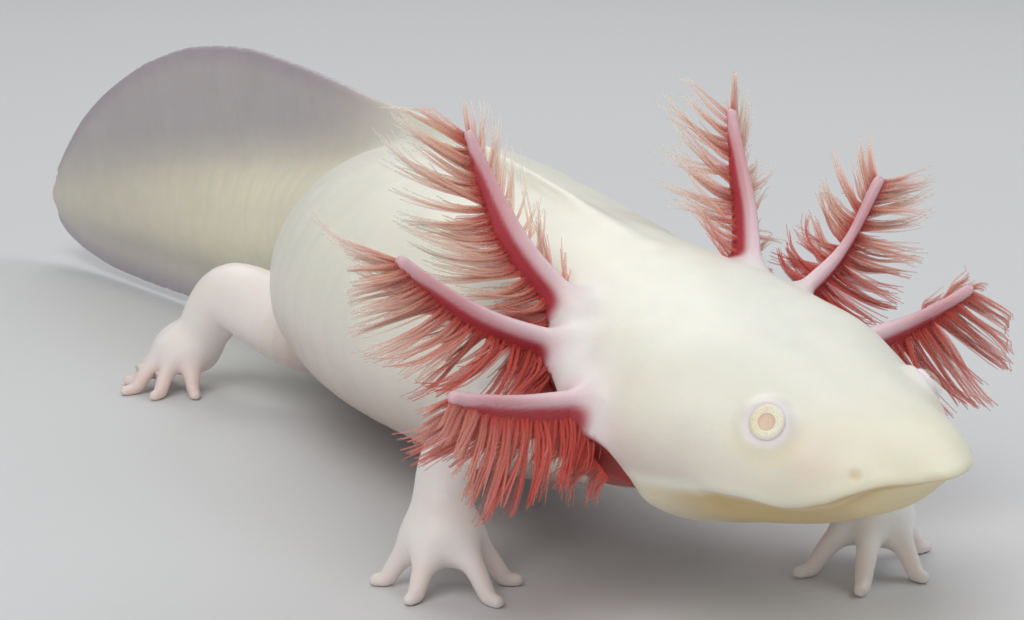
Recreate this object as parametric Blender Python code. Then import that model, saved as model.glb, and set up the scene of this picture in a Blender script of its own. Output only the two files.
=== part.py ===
"""Albino axolotl, life size, walking on its four feet with its head turned a little to its left.

Metres, +Z up. The animal faces -Y, so its left is +X. The origin lies on the floor, under the middle
of the bounding box. Tables are in millimetres, and each is read along the spine from the snout.
"""

import math

import bpy
import numpy as np

MM = 0.001
GAP = 0.3  # left between two pieces that meet
LENGTH = 230.0  # snout to tail tip, along the spine
EYE_AT = 13.5  # distance of the eyes behind the snout
SHOULDER_AT = 45.0
HIP_AT = 121.0
SHOULDER_X = -2.5  # where the spine passes over the shoulders
SHOULDER_Y = -69.6

# Distance behind the snout, and how far the animal's heading swings to its left there, in degrees.
HEADING = (
    (0, 17), (34, 17), (45, 13), (57, 6), (75, 1), (95, -2), (112, 0), (135, 8), (165, 13), (LENGTH, 15),
)

# Distance, half width, height of the top, of the widest line and of the underside, fullness.
BODY = (
    (0.0, 6.1, 21.8, 18.6, 16.4, 2.15),
    (4.0, 8.1, 23.4, 18.8, 15.0, 2.1),
    (8.0, 10.2, 25.0, 18.8, 13.4, 2.05),
    (13.5, 13.7, 27.0, 18.8, 11.9, 2.02),
    (20.0, 17.0, 29.4, 18.8, 10.9, 2.0),
    (27.0, 19.3, 32.0, 19.0, 10.4, 2.0),
    (34.0, 19.4, 34.0, 19.5, 10.4, 2.02),
    (40.0, 17.8, 35.0, 20.0, 9.4, 2.02),
    (47.0, 17.0, 35.8, 20.0, 7.8, 2.0),
    (60.0, 19.2, 37.0, 20.0, 5.0, 1.98),
    (78.0, 21.2, 37.8, 20.0, 3.2, 2.0),
    (96.0, 21.9, 38.0, 19.2, 2.2, 2.05),
    (110.0, 20.6, 36.6, 18.6, 2.8, 2.05),
    (121.0, 16.2, 34.0, 18.5, 5.0, 2.0),
    (132.0, 11.4, 31.0, 18.0, 7.4, 2.0),
    (150.0, 7.2, 27.4, 17.0, 8.8, 2.0),
    (170.0, 5.0, 24.4, 15.6, 8.6, 2.0),
    (190.0, 3.6, 21.2, 14.0, 8.0, 2.0),
    (210.0, 2.6, 17.4, 12.2, 7.8, 2.0),
    (LENGTH, 1.2, 13.0, 11.2, 9.6, 2.0),
)
NOSE = 7.0  # the snout's front is rounded over this length
JAW_SETBACK = 1.8  # the lower jaw stops this far short of the snout

# Distance, and height of the fin's upper and lower edge, round the tail.
TAIL_FIN = (
    (124.0, 40.1, 6.4), (135.0, 40.8, 5.0), (150.0, 42.0, 3.4), (165.0, 42.7, 2.2), (180.0, 41.4, 1.5),
    (195.0, 37.6, 1.3), (208.0, 32.1, 1.6), (218.0, 26.1, 2.8), (225.0, 20.0, 4.6), (228.5, 15.8, 6.6),
    (LENGTH, 12.6, 8.6),
)
# Distance, and height of the low fin's edge along the back.
BACK_FIN = ((56.0, 36.9), (70.0, 39.2), (85.0, 40.0), (100.0, 40.4), (112.0, 40.3), (123.7, 40.1))
FIN_ROOT, FIN_EDGE = 1.5, 0.5  # half the fin's thickness where it grows from the body, and at its edge
FIN_RISE = 3.0  # the fin thins to its edge over this much of its height, at least

EYE_RADIUS = 2.2
EYE_BEHIND, EYE_SIDE, EYE_HEIGHT = 0.6, 10.6, 23.15

# Where the lips meet: distance behind the snout, and height.
MOUTH = ((-3.0, 19.2), (2.5, 18.9), (5.4, 17.9), (8.0, 16.8), (11.5, 16.0), (14.5, 16.8), (19.2, 17.2))
JAW_BACK = (33.0, 6.0)  # the lower end of the slanting cut behind the jaw

# Each gill's stalk: its root, middle and tip, as distance behind the eyes, distance out from the
# middle of the head, and height.
GILLS = {
    "gill_right_top": ((27.5, 12.0, 29.0), (33.6, 17.0, 38.5), (38.4, 18.4, 48.2)),
    "gill_right_middle": ((25.0, 15.0, 26.8), (27.4, 25.6, 31.4), (30.0, 33.6, 38.0)),
    "gill_right_bottom": ((18.8, 16.5, 22.8), (18.8, 27.5, 24.2), (18.6, 36.0, 26.8)),
    "gill_left_top": ((27.5, 12.0, 29.0), (33.2, 16.6, 38.0), (37.0, 18.2, 47.0)),
    "gill_left_middle": ((25.0, 15.0, 26.8), (26.6, 25.6, 31.6), (27.8, 32.8, 39.0)),
    "gill_left_bottom": ((18.8, 16.5, 22.8), (17.0, 27.5, 25.0), (15.6, 35.0, 28.0)),
}
STALK_RADII = (2.3, 1.4, 0.55)
# How far each gill's two rows of filaments lean down round the stalk, in degrees.
LEAN = {"gill_right_middle": 46, "gill_right_bottom": 76, "gill_left_middle": 52, "gill_left_bottom": 60}
FILAMENTS = 7  # in each of a gill's two rows
FILAMENT_LENGTHS = (6.4, 8.0, 8.2, 6.0)  # from the stalk's root to its tip
HANGING_LENGTHS = (7.4, 8.4, 5.2, 2.4)  # and on the right side's lowest gill, which hangs down
FILAMENT_SPREAD = {"top": 74, "middle": 58, "bottom": 46}  # degrees that each row swings from straight back
FILAMENT_ROOT, FILAMENT_TIP = 0.62, 0.36

# Limbs, as distance in front of the shoulder, distance out from the middle, height and radius.
ARMS = {
    "right": (
        (3, 9, 18.5, 5.2), (0.8, 17, 17.2, 4.2), (-1.0, 22.2, 13.6, 3.1), (-0.2, 23.4, 9.8, 3.2),
        (1.0, 24.1, 6.4, 3.3),
    ),
    "left": (
        (2, 9, 17, 5.2), (1.6, 17.0, 16.6, 4.4), (3.6, 22.6, 14.0, 3.7), (7.8, 24.2, 9.4, 3.2),
        (12.0, 22.4, 6.0, 3.1),
    ),
}
LEGS = {
    "right": (
        (-71, 5, 10.5, 7.4), (-75, 14.5, 10.6, 6.1), (-83, 22.5, 13.8, 4.6), (-87.4, 25.4, 9.2, 3.7),
        (-89.2, 26.4, 5.6, 3.1),
    ),
    "left": (
        (-76, 5, 13.5, 7.6), (-72, 14.5, 13, 6.2), (-65.5, 22.4, 14.2, 4.6), (-62.6, 26, 9.4, 3.7),
        (-64.2, 27.6, 5.6, 3.1),
    ),
}
# The ends of the fingers and toes, as distance in front of the shoulder and out from the middle.
FINGERS = {
    "right": ((-1.1, 30.9), (6.3, 29.6), (10.4, 21.4), (4.6, 16.8)),
    "left": ((11.0, 29.8), (20.4, 24.0), (21.6, 15.6), (13.8, 12.4)),
}
TOES = {
    "right": ((-82.6, 28.6), (-84.4, 33.8), (-88.6, 36.8), (-93.8, 35.2), (-96.2, 30.2)),
    "left": ((-56.4, 27.6), (-57.2, 33.2), (-61.4, 37.2), (-67.0, 36.8), (-71.0, 32.4)),
}
ELBOW_REACH = 2.5  # a limb's cross-sections turn over this length on each side of a bend
# A finger slopes down from the palm, and its last part lies level on the floor.
FINGER_SHARES = (0.15, 0.6, 0.87, 1.0)
FINGER_RADII = (1.8, 1.15, 0.86, 0.74)
FINGER_HEIGHTS = (6.4, 3.3, 0.64, 0.56)
PALM = (4.3, 4.2, 3.2)  # half its length, width and thickness
PALM_HEIGHT = 5.7

BODY_SIDES = 24


def smooth_table(table, at):
    """The columns of a table at the distances asked for, on a smooth curve that never overshoots a row."""
    rows = np.array(table, float)
    x, y = rows[:, 0], rows[:, 1:]
    slopes = np.diff(y, axis=0) / np.diff(x)[:, None]
    tangents = np.zeros_like(y)
    left, right = slopes[:-1], slopes[1:]
    same_way = left * right > 0
    tangents[1:-1][same_way] = 2 * left[same_way] * right[same_way] / (left + right)[same_way]
    tangents[0], tangents[-1] = slopes[0], slopes[-1]
    at = np.clip(np.atleast_1d(np.asarray(at, float)), x[0], x[-1])
    i = np.clip(np.searchsorted(x, at) - 1, 0, len(x) - 2)
    step = np.diff(x)[i][:, None]
    t = (at[:, None] - x[i][:, None]) / step
    a, b = y[i], y[i + 1]
    ta, tb = tangents[i] * step, tangents[i + 1] * step
    rise = t * t * (3 - 2 * t)
    return a + (b - a) * rise + ta * t * (1 - t) ** 2 - tb * t * t * (1 - t)


def heading(at):
    return np.radians(smooth_table(HEADING, at)[:, 0])


def make_spine():
    """The spine seen from above, a point for each millimetre, found by following the heading backwards."""
    distances = np.arange(0.0, LENGTH + 1.5)
    turn = heading(distances)
    steps = np.stack([-np.sin(turn), np.cos(turn)], 1)
    points = np.vstack([[0, 0], np.cumsum(steps[:-1], axis=0)])
    shoulder = points[int(SHOULDER_AT)]
    return distances, points - shoulder + (SHOULDER_X, SHOULDER_Y)


SPINE_AT, SPINE = make_spine()


def place(at, side, height):
    """Points from their distance along the spine, distance to the animal's left, and height."""
    at, side, height = np.broadcast_arrays(*(np.asarray(v, float) for v in (at, side, height)))
    turn = heading(at.ravel()).reshape(at.shape)
    x = np.interp(at, SPINE_AT, SPINE[:, 0]) + side * np.cos(turn)
    y = np.interp(at, SPINE_AT, SPINE[:, 1]) + side * np.sin(turn)
    return np.stack([x, y, height], -1)


def head_place(behind_eyes, side, height):
    """Points in the head's own straight frame, which the gills and the jaw follow."""
    turn = heading(EYE_AT)[0]
    origin = place(EYE_AT, 0, 0)
    back = np.array([-math.sin(turn), math.cos(turn), 0])
    left = np.array([math.cos(turn), math.sin(turn), 0])
    behind_eyes, side, height = (np.asarray(v, float)[..., None] for v in (behind_eyes, side, height))
    return origin + behind_eyes * back + side * left + height * np.array([0, 0, 1.0])


def body_rings(distances, grow=0.0, setback=0.0):
    """One ring of points round the body at each distance; its front is rounded from the setback on."""
    distances = np.asarray(distances, float)
    width, top, widest, under, fullness = smooth_table(BODY, distances).T[:, :, None]
    nose = np.sqrt(1 - (1 - np.clip((distances - setback) / NOSE, 0, 1)) ** 2)[:, None]
    angle = np.linspace(0, 2 * math.pi, BODY_SIDES, endpoint=False)[None]
    across = np.sign(np.cos(angle)) * np.abs(np.cos(angle)) ** (2 / fullness)
    upward = np.sign(np.sin(angle)) * np.abs(np.sin(angle)) ** (2 / fullness)
    reach = np.where(upward > 0, top - widest, widest - under) * nose + grow
    return place(distances[:, None], across * (width * nose + grow), widest + upward * reach)


def tube_rings(points, radii, sides, flat=1.0):
    """Rings of a tapered tube along points, each square to the way the tube runs there."""
    points, radii = np.asarray(points, float), np.asarray(radii, float)
    run = np.gradient(points, axis=0)
    run /= np.linalg.norm(run, axis=1)[:, None]
    across = np.cross(run, (0, 0, 1.0))
    steep = np.linalg.norm(across, axis=1) < 0.2
    across[steep] = np.cross(run[steep], (0, 1.0, 0))
    across /= np.linalg.norm(across, axis=1)[:, None]
    other = np.cross(across, run)
    angle = np.linspace(0, 2 * math.pi, sides, endpoint=False)
    angle = angle[None, :, None]
    circle = np.cos(angle) * across[:, None] + flat * np.sin(angle) * other[:, None]
    return points[:, None] + radii[:, None, None] * circle


def curve_through(points, count):
    """Evenly spaced places on a smooth curve through a few points."""
    points = np.asarray(points, float)
    table = np.column_stack([np.arange(len(points)), points])
    return smooth_table(table, np.linspace(0, len(points) - 1, count))


def material(name, colour, roughness):
    made = bpy.data.materials.new(name)
    made.use_nodes = True
    shader = made.node_tree.nodes["Principled BSDF"]
    shader.inputs["Base Color"].default_value = (*colour, 1)
    shader.inputs["Roughness"].default_value = roughness
    made.diffuse_color = (*colour, 1)
    return made


def solid(name, vertices, faces, finish):
    mesh = bpy.data.meshes.new(name)
    mesh.from_pydata((np.asarray(vertices) * MM).tolist(), [], faces)
    mesh.materials.append(finish)
    mesh.shade_smooth()
    made = bpy.data.objects.new(name, mesh)
    bpy.context.collection.objects.link(made)
    return made


def outward(mesh):
    """Turns a closed mesh's faces out."""
    mesh.calc_loop_triangles()
    corners = np.array([[mesh.vertices[v].co for v in t.vertices] for t in mesh.loop_triangles])
    if np.linalg.det(corners).sum() < 0:
        mesh.flip_normals()


def loft(name, rings, finish):
    """A closed solid through rings of equal counts, with flat ends."""
    rings = np.asarray(rings)
    count, sides = rings.shape[:2]
    faces = [
        (r * sides + k, r * sides + (k + 1) % sides, (r + 1) * sides + (k + 1) % sides, (r + 1) * sides + k)
        for r in range(count - 1)
        for k in range(sides)
    ]
    faces.append(tuple(range(sides))[::-1])
    faces.append(tuple((count - 1) * sides + k for k in range(sides)))
    made = solid(name, rings.reshape(-1, 3), faces, finish)
    outward(made.data)
    return made


def ball(name, centre, radii, finish, rows=8, sides=12):
    """An ellipsoid, its poles closed by small flats."""
    angle = np.linspace(0.1, math.pi - 0.1, rows)
    turn = np.linspace(0, 2 * math.pi, sides, endpoint=False)
    x = np.sin(angle)[:, None] * np.cos(turn)[None] * radii[0]
    y = np.sin(angle)[:, None] * np.sin(turn)[None] * radii[1]
    z = np.cos(angle)[:, None] * np.ones(sides)[None] * radii[2]
    return loft(name, np.stack([x, y, z], -1) + np.asarray(centre), finish)


def helper(made):
    """Marks a cutter, or a piece that a union takes in."""
    made.hide_render = True
    made.display_type = "WIRE"
    return made


def combine(made, other, operation):
    """A Boolean whose other shape is left out of the model."""
    step = made.modifiers.new(operation.title(), "BOOLEAN")
    step.operation = operation
    step.object = helper(other)
    step.solver = "EXACT"
    return made


def box(name, low, high):
    corners = [(x, y, z) for x in (low[0], high[0]) for y in (low[1], high[1]) for z in (low[2], high[2])]
    faces = [(0, 1, 3, 2), (4, 6, 7, 5), (0, 4, 5, 1), (2, 3, 7, 6), (0, 2, 6, 4), (1, 5, 7, 3)]
    made = solid(name, corners, faces, None)
    outward(made.data)
    return made


def jaw_block(name, lift):
    """Everything below the line of the lips, as a block across the head; lift moves its upper face."""
    line = [(at, height + lift) for at, height in MOUTH]
    outline = [(-3.0, 0.0), *line, (JAW_BACK[0] + lift, JAW_BACK[1] - 8.0)]
    rings = [[head_place(at - EYE_AT, side, height) for at, height in outline] for side in (-30, 30)]
    return loft(name, rings, None)


def make_head(skin):
    """The head down to the gills, with the lower jaw parted along the lips and a socket for each eye."""
    distances = [0.15, 0.7, 1.6, 3, 5, 7.8, 11, 14.2, 17.8, 22, 26, 30, 34, 37.85]
    head = loft("head", body_rings(distances), skin)
    jaw_distances = [distance + JAW_SETBACK for distance in distances[:5]] + distances[5:]
    jaw = loft("lower_jaw", body_rings(jaw_distances, setback=JAW_SETBACK), skin)
    combine(head, jaw_block("mouth_cut", GAP), "DIFFERENCE")
    combine(jaw, jaw_block("jaw_keep", 0.0), "INTERSECT")
    for side, sign in (("left", 1), ("right", -1)):
        centre = head_place(EYE_BEHIND, sign * EYE_SIDE, EYE_HEIGHT)
        socket = ball(f"{side}_socket", centre, [EYE_RADIUS + GAP] * 3, None)
        combine(head, socket, "DIFFERENCE")


def make_eyes(finish):
    for side, sign in (("left", 1), ("right", -1)):
        centre = head_place(EYE_BEHIND, sign * EYE_SIDE, EYE_HEIGHT)
        ball(f"eye_{side}", centre, [EYE_RADIUS] * 3, finish)


def make_trunk(skin):
    """The neck, the trunk and the fleshy core of the tail, each ending square to the spine."""
    loft("neck", body_rings([38.15, 40, 42, 44, 46, 48, 50.85]), skin)
    loft("trunk", body_rings([51.15, 55, 60, 66, 73, 80, 88, 96, 103, 109, 115, 119, 123.85]), skin)
    loft("tail", body_rings([124.15, 128, 133, 140, 148, 158, 170, 184, 198, 210, 220]), skin)


def whole_body(name, start, end):
    """The body's shape grown by the gap, which trims what grows from it."""
    return loft(name, body_rings(np.arange(start, end, 4.0), GAP), None)


def fin_rings(distances, upper, lower, root_upper, root_lower):
    """A thin upright sheet along the spine: thick where it leaves the body, thin at its rounded edges."""
    rings = []
    for at, high, low, in_high, in_low in zip(distances, upper, lower, root_upper, root_lower):
        heights = [low, low + 0.35, in_low, in_high, high - 0.35, high]
        halves = [0.5 * FIN_EDGE, FIN_EDGE, FIN_ROOT, FIN_ROOT, FIN_EDGE, 0.5 * FIN_EDGE]
        side = np.array(halves + [-h for h in halves[::-1]])
        rings.append(place(at, side, np.array(heights + heights[::-1])))
    return rings


def make_fins(finish):
    """The fin round the tail, in one horseshoe, and the low fin along the back."""
    distances = [124.15, 130, 137, 145, 154, 164, 174, 184, 193, 201, 208, 214, 220, 225, 229, LENGTH]
    upper, lower = smooth_table(TAIL_FIN, distances).T
    _, top, _, under, _ = smooth_table(BODY, distances).T
    inside = 1.5
    in_high = np.minimum(top - inside, upper - 0.8)
    in_low = np.maximum(under + inside, lower + 0.8)
    middle = (in_high + in_low) / 2
    in_high, in_low = np.maximum(in_high, middle + 0.2), np.minimum(in_low, middle - 0.2)
    tail_fin = loft("tail_fin", fin_rings(distances, upper, lower, in_high, in_low), finish)
    core_at = [120, 128, 133, 140, 148, 158, 170, 184, 198, 210, 220 + GAP]
    combine(tail_fin, loft("core_cut", body_rings(core_at, GAP), None), "DIFFERENCE")
    distances = np.array([56, 62, 70, 80, 90, 100, 112, 123.85])
    edge = smooth_table(BACK_FIN, distances)[:, 0]
    top = smooth_table(BODY, distances)[:, 1]
    root = top - 2.0
    rings = fin_rings(distances, np.maximum(edge, top + 1.0), root - 3, root, root - 2)
    back_fin = loft("dorsal_fin", rings, finish)
    combine(back_fin, whole_body("back_cut", 46, 132), "DIFFERENCE")


def filament_rings(start, direction, length, droop):
    """A tapered, four-sided filament whose tip has sagged a little."""
    tip = start + direction * length + np.array([0, 0, -droop * length])
    return tube_rings([start, tip], (FILAMENT_ROOT, FILAMENT_TIP), 4)


def make_gill(name, points, finish):
    """A tapered stalk with two rows of filaments on its hinder side, spread in a V."""
    sign = -1 if "right" in name else 1
    path = curve_through([head_place(back, sign * out, height) for back, out, height in points], 9)
    radii = smooth_table([(i / 2, r) for i, r in enumerate(STALK_RADII)], np.linspace(0, 1, 9))[:, 0]
    gill = loft(name, tube_rings(path, radii, 8, 0.8), finish)
    run = np.gradient(path, axis=0)
    run /= np.linalg.norm(run, axis=1)[:, None]
    backward = head_place(1, 0, 0) - head_place(0, 0, 0)
    for k, share in enumerate(np.linspace(0.3, 1.0, FILAMENTS)):
        at = [np.interp(share, np.linspace(0, 1, 9), values) for values in (*path.T, *run.T)]
        start, ahead = np.array(at[:3]), np.array(at[3:])
        back = backward - backward @ ahead * ahead
        back /= np.linalg.norm(back)
        beside = np.cross(ahead, back)
        lean = math.radians(LEAN.get(name, 0)) * -np.sign(beside[2])
        lengths = HANGING_LENGTHS if name == "gill_right_bottom" else FILAMENT_LENGTHS
        length = np.interp(share, (0.3, 0.55, 0.8, 1.0), lengths)
        spread = math.radians(FILAMENT_SPREAD[name.split("_")[-1]])
        for row in (-1, 1):
            swing = row * spread * (1.1 - 0.3 * share) + lean
            way = math.cos(swing) * back + math.sin(swing) * beside + (0.25 + 0.7 * share**4) * ahead
            way /= np.linalg.norm(way)
            rings = filament_rings(start + 0.25 * way, way, length, 0.12)
            combine(gill, loft(f"{name}_filament_{k}_{row}", rings, None), "UNION")
    combine(gill, whole_body(f"{name}_root_cut", 2, 66), "DIFFERENCE")


def limb_point(ahead, out, height, sign):
    return np.array([SHOULDER_X + sign * out, SHOULDER_Y - ahead, height])


def limb_rings(table, sign, start, end, count, sides=10):
    """Rings round part of a limb, from one share of its length to another."""
    path = np.array([[*limb_point(*row[:3], sign), row[3]] for row in table])
    share = np.linspace(0, len(path) - 1, 65)
    fine = smooth_table(np.column_stack([np.arange(len(path)), path]), share)
    length = np.concatenate([[0], np.cumsum(np.linalg.norm(np.diff(fine[:, :3], axis=0), axis=1))])
    wanted = np.linspace(start * length[-1], end * length[-1], count)
    points = np.stack([np.interp(wanted, length, column) for column in fine.T], 1)
    ahead, behind = (
        np.stack([np.interp(wanted + reach, length, column) for column in fine[:, :3].T], 1)
        for reach in (ELBOW_REACH, -ELBOW_REACH)
    )
    run = ahead - behind
    run /= np.linalg.norm(run, axis=1)[:, None]
    level = np.array([0.0, 1.0, 0.0])
    across = level - run * (run @ level)[:, None]
    across /= np.linalg.norm(across, axis=1)[:, None]
    other = np.cross(across, run)
    angle = np.linspace(0, 2 * math.pi, sides, endpoint=False)[None, :, None]
    circle = np.cos(angle) * across[:, None] + np.sin(angle) * other[:, None]
    return points[:, None, :3] + points[:, 3][:, None, None] * circle


def finger_rings(palm, tip):
    """A finger that slopes from inside the palm down to its tip on the floor."""
    points = palm + np.array(FINGER_SHARES)[:, None] * (tip - palm)
    points[:, 2] = FINGER_HEIGHTS
    return tube_rings(points, FINGER_RADII, 6)


def make_limb(side, names, table, tips, skin, cuts):
    """An upper part, a lower part, and a hand or foot whose underside is flat on the floor."""
    sign = -1 if side == "right" else 1
    upper_name, lower_name, end_name = (f"{name}_{side}" for name in names)
    first, second = cuts
    gap = 0.009
    upper = loft(upper_name, limb_rings(table, sign, 0.0, first - gap, 7), skin)
    combine(upper, whole_body(f"{upper_name}_root_cut", 30, 140), "DIFFERENCE")
    loft(lower_name, limb_rings(table, sign, first + gap, second - gap, 5), skin)
    end = loft(end_name, limb_rings(table, sign, second + gap, 1.0, 3), skin)
    wrist = limb_point(*table[-1][:3], sign)
    ends = np.array([limb_point(ahead, out, 1.9, sign) for ahead, out in tips])
    towards = ends.mean(axis=0) - wrist
    centre = wrist + 0.25 * towards
    centre[2] = PALM_HEIGHT
    combine(end, ball(f"{end_name}_palm", centre, PALM, None, 7, 12), "UNION")
    for k, tip in enumerate(ends):
        finger = loft(f"{end_name}_finger_{k}", finger_rings(centre, tip), None)
        combine(end, finger, "UNION")
    low, high = ends.min(axis=0) - 20, ends.max(axis=0) + 20
    combine(end, box(f"{end_name}_floor", (low[0], low[1], -9), (high[0], high[1], 0)), "DIFFERENCE")


def clear_scene():
    for old in list(bpy.data.objects):
        bpy.data.objects.remove(old, do_unlink=True)


def main():
    clear_scene()
    skin = material("skin", (0.87, 0.82, 0.70), 0.35)
    fin = material("fin", (0.78, 0.72, 0.68), 0.35)
    eye = material("eye", (0.85, 0.66, 0.42), 0.12)
    gill = material("gill", (0.72, 0.25, 0.24), 0.4)
    make_head(skin)
    make_eyes(eye)
    make_trunk(skin)
    make_fins(fin)
    for name, points in GILLS.items():
        make_gill(name, points, gill)
    for side in ("left", "right"):
        arm, leg = ("upper_arm", "forearm", "hand"), ("thigh", "shank", "foot")
        make_limb(side, arm, ARMS[side], FINGERS[side], skin, (0.52, 0.86))
        make_limb(side, leg, LEGS[side], TOES[side], skin, (0.6, 0.88))


main()
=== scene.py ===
import math

import bmesh
import bpy
import numpy as np
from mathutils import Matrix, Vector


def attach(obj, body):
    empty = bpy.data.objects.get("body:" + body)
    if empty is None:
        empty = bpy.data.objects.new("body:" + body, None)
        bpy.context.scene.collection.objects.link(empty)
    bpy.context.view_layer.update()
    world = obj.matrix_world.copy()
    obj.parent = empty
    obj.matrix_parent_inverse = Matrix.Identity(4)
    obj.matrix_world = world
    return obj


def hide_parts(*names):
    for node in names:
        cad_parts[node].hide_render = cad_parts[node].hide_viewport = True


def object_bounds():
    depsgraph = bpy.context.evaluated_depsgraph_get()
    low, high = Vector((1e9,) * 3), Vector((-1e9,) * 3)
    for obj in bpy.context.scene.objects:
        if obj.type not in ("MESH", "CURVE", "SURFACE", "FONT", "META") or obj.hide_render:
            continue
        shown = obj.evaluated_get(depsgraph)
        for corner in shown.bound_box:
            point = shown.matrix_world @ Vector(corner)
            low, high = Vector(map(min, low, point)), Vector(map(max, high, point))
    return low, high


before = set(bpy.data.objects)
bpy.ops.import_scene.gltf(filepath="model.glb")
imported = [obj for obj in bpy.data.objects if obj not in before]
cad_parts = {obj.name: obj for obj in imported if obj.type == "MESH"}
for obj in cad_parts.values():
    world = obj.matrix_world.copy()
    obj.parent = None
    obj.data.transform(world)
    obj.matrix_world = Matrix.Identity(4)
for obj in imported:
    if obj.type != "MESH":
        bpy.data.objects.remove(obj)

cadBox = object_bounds()
millimetre = 0.001
straightUp = np.array([0, 0, 1.0])

# sizes in millimetres, most of them shared with the solids: the animal faces -Y and its left is +X
body = {
    "length": 230.0,       # snout to tail tip along the spine
    "shoulderAt": 45.0,    # behind the snout, along the spine
    "shoulder": (-2.5, -69.6),
    "eyeAt": 13.5,
    "nose": 7.0,           # the snout is rounded over this length
    "tailEnd": 8.0,        # and the tail's core over this one
    "jawSetback": 1.8,     # the lower jaw stops this far short of the snout
    "chinLift": 0.9,       # its chin rises this much to the front
    "throatSag": 0.8,      # and the throat hangs this much lower at the corners of the mouth
    # distance from the snout along the spine, and the way the spine heads there in degrees
    "heading": ((0, 17), (34, 17), (45, 13), (57, 6), (75, 1), (95, -2), (112, 0), (135, 8), (165, 13), (230, 15)),
    # distance, half width, top, widest line, underside, fullness
    "shape": (
        (0, 6.1, 21.8, 18.6, 16.4, 2.15), (4, 8.1, 23.4, 18.8, 15.0, 2.1), (8, 10.2, 25.0, 18.8, 13.4, 2.05),
        (13.5, 13.7, 27.0, 18.8, 11.9, 2.02), (20, 17.0, 29.4, 18.8, 10.9, 2.0), (27, 19.3, 32.0, 19.0, 10.4, 2.0),
        (34, 19.4, 34.0, 19.5, 10.4, 2.02), (40, 17.8, 35.0, 20.0, 9.4, 2.02), (47, 17.0, 35.8, 20.0, 7.8, 2.0),
        (60, 19.2, 37.0, 20.0, 5.0, 1.98), (78, 21.2, 37.8, 20.0, 3.2, 2.0), (96, 21.9, 38.0, 19.2, 2.2, 2.05),
        (110, 20.6, 36.6, 18.6, 2.8, 2.05), (121, 16.2, 34.0, 18.5, 5.0, 2.0), (132, 11.4, 31.0, 18.0, 7.4, 2.0),
        (150, 7.2, 27.4, 17.0, 8.8, 2.0), (170, 5.0, 24.4, 15.6, 8.6, 2.0), (190, 3.6, 21.2, 14.0, 8.0, 2.0),
        (210, 2.6, 17.4, 12.2, 7.8, 2.0), (230, 1.2, 13.0, 11.2, 9.6, 2.0),
    ),
}
fin = {
    # distance, height of the upper edge, which runs from the back on to the tail
    "upper": (
        (46, 34.6), (56, 37.2), (63, 38.5), (70, 39.2), (85, 40.0), (100, 40.4), (112, 40.3), (124, 40.1),
        (135, 40.8), (150, 42.0), (165, 42.7), (180, 41.4), (195, 37.6), (208, 32.1), (218, 26.1), (225, 20.0),
        (228.5, 15.8), (230, 12.6),
    ),
    "lower": (
        (90, 20), (112, 14), (124, 6.4), (135, 5.0), (150, 3.4), (165, 2.2), (180, 1.5), (195, 1.3), (208, 1.6),
        (218, 2.8), (225, 4.6), (228.5, 6.6), (230, 8.6),
    ),
    "rootHalf": 1.5, "edgeHalf": 0.5,   # half thicknesses
    "begins": 44, "rootDepth": 1.5,     # along the spine, and how deep it starts inside the flesh
}
eye = {
    "behind": 0.7, "side": 10.75, "height": 23.5, "radius": 2.2,      # behind eyeAt, out from the middle, up
    "axis": (-0.4, 0.77, 0.48),     # behind, out, up: the way the eye looks
    # a raised ring of skin round it: a ball this far back, hollowed by a larger ball in front
    "collarBack": 0.1, "collarRadius": 2.42, "hollowAhead": {"left": 6.35, "right": 6.85}, "hollowRadius": 6.0,
}
mouth = {
    # distance along the spine and height of the line where the lips meet, and where it ends
    "line": ((-3, 19.2), (2.5, 18.9), (5.4, 17.8), (8, 16.5), (11.5, 15.6), (14.5, 16.3), (19.2, 16.9)),
    "corner": 18.6,
}
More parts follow.
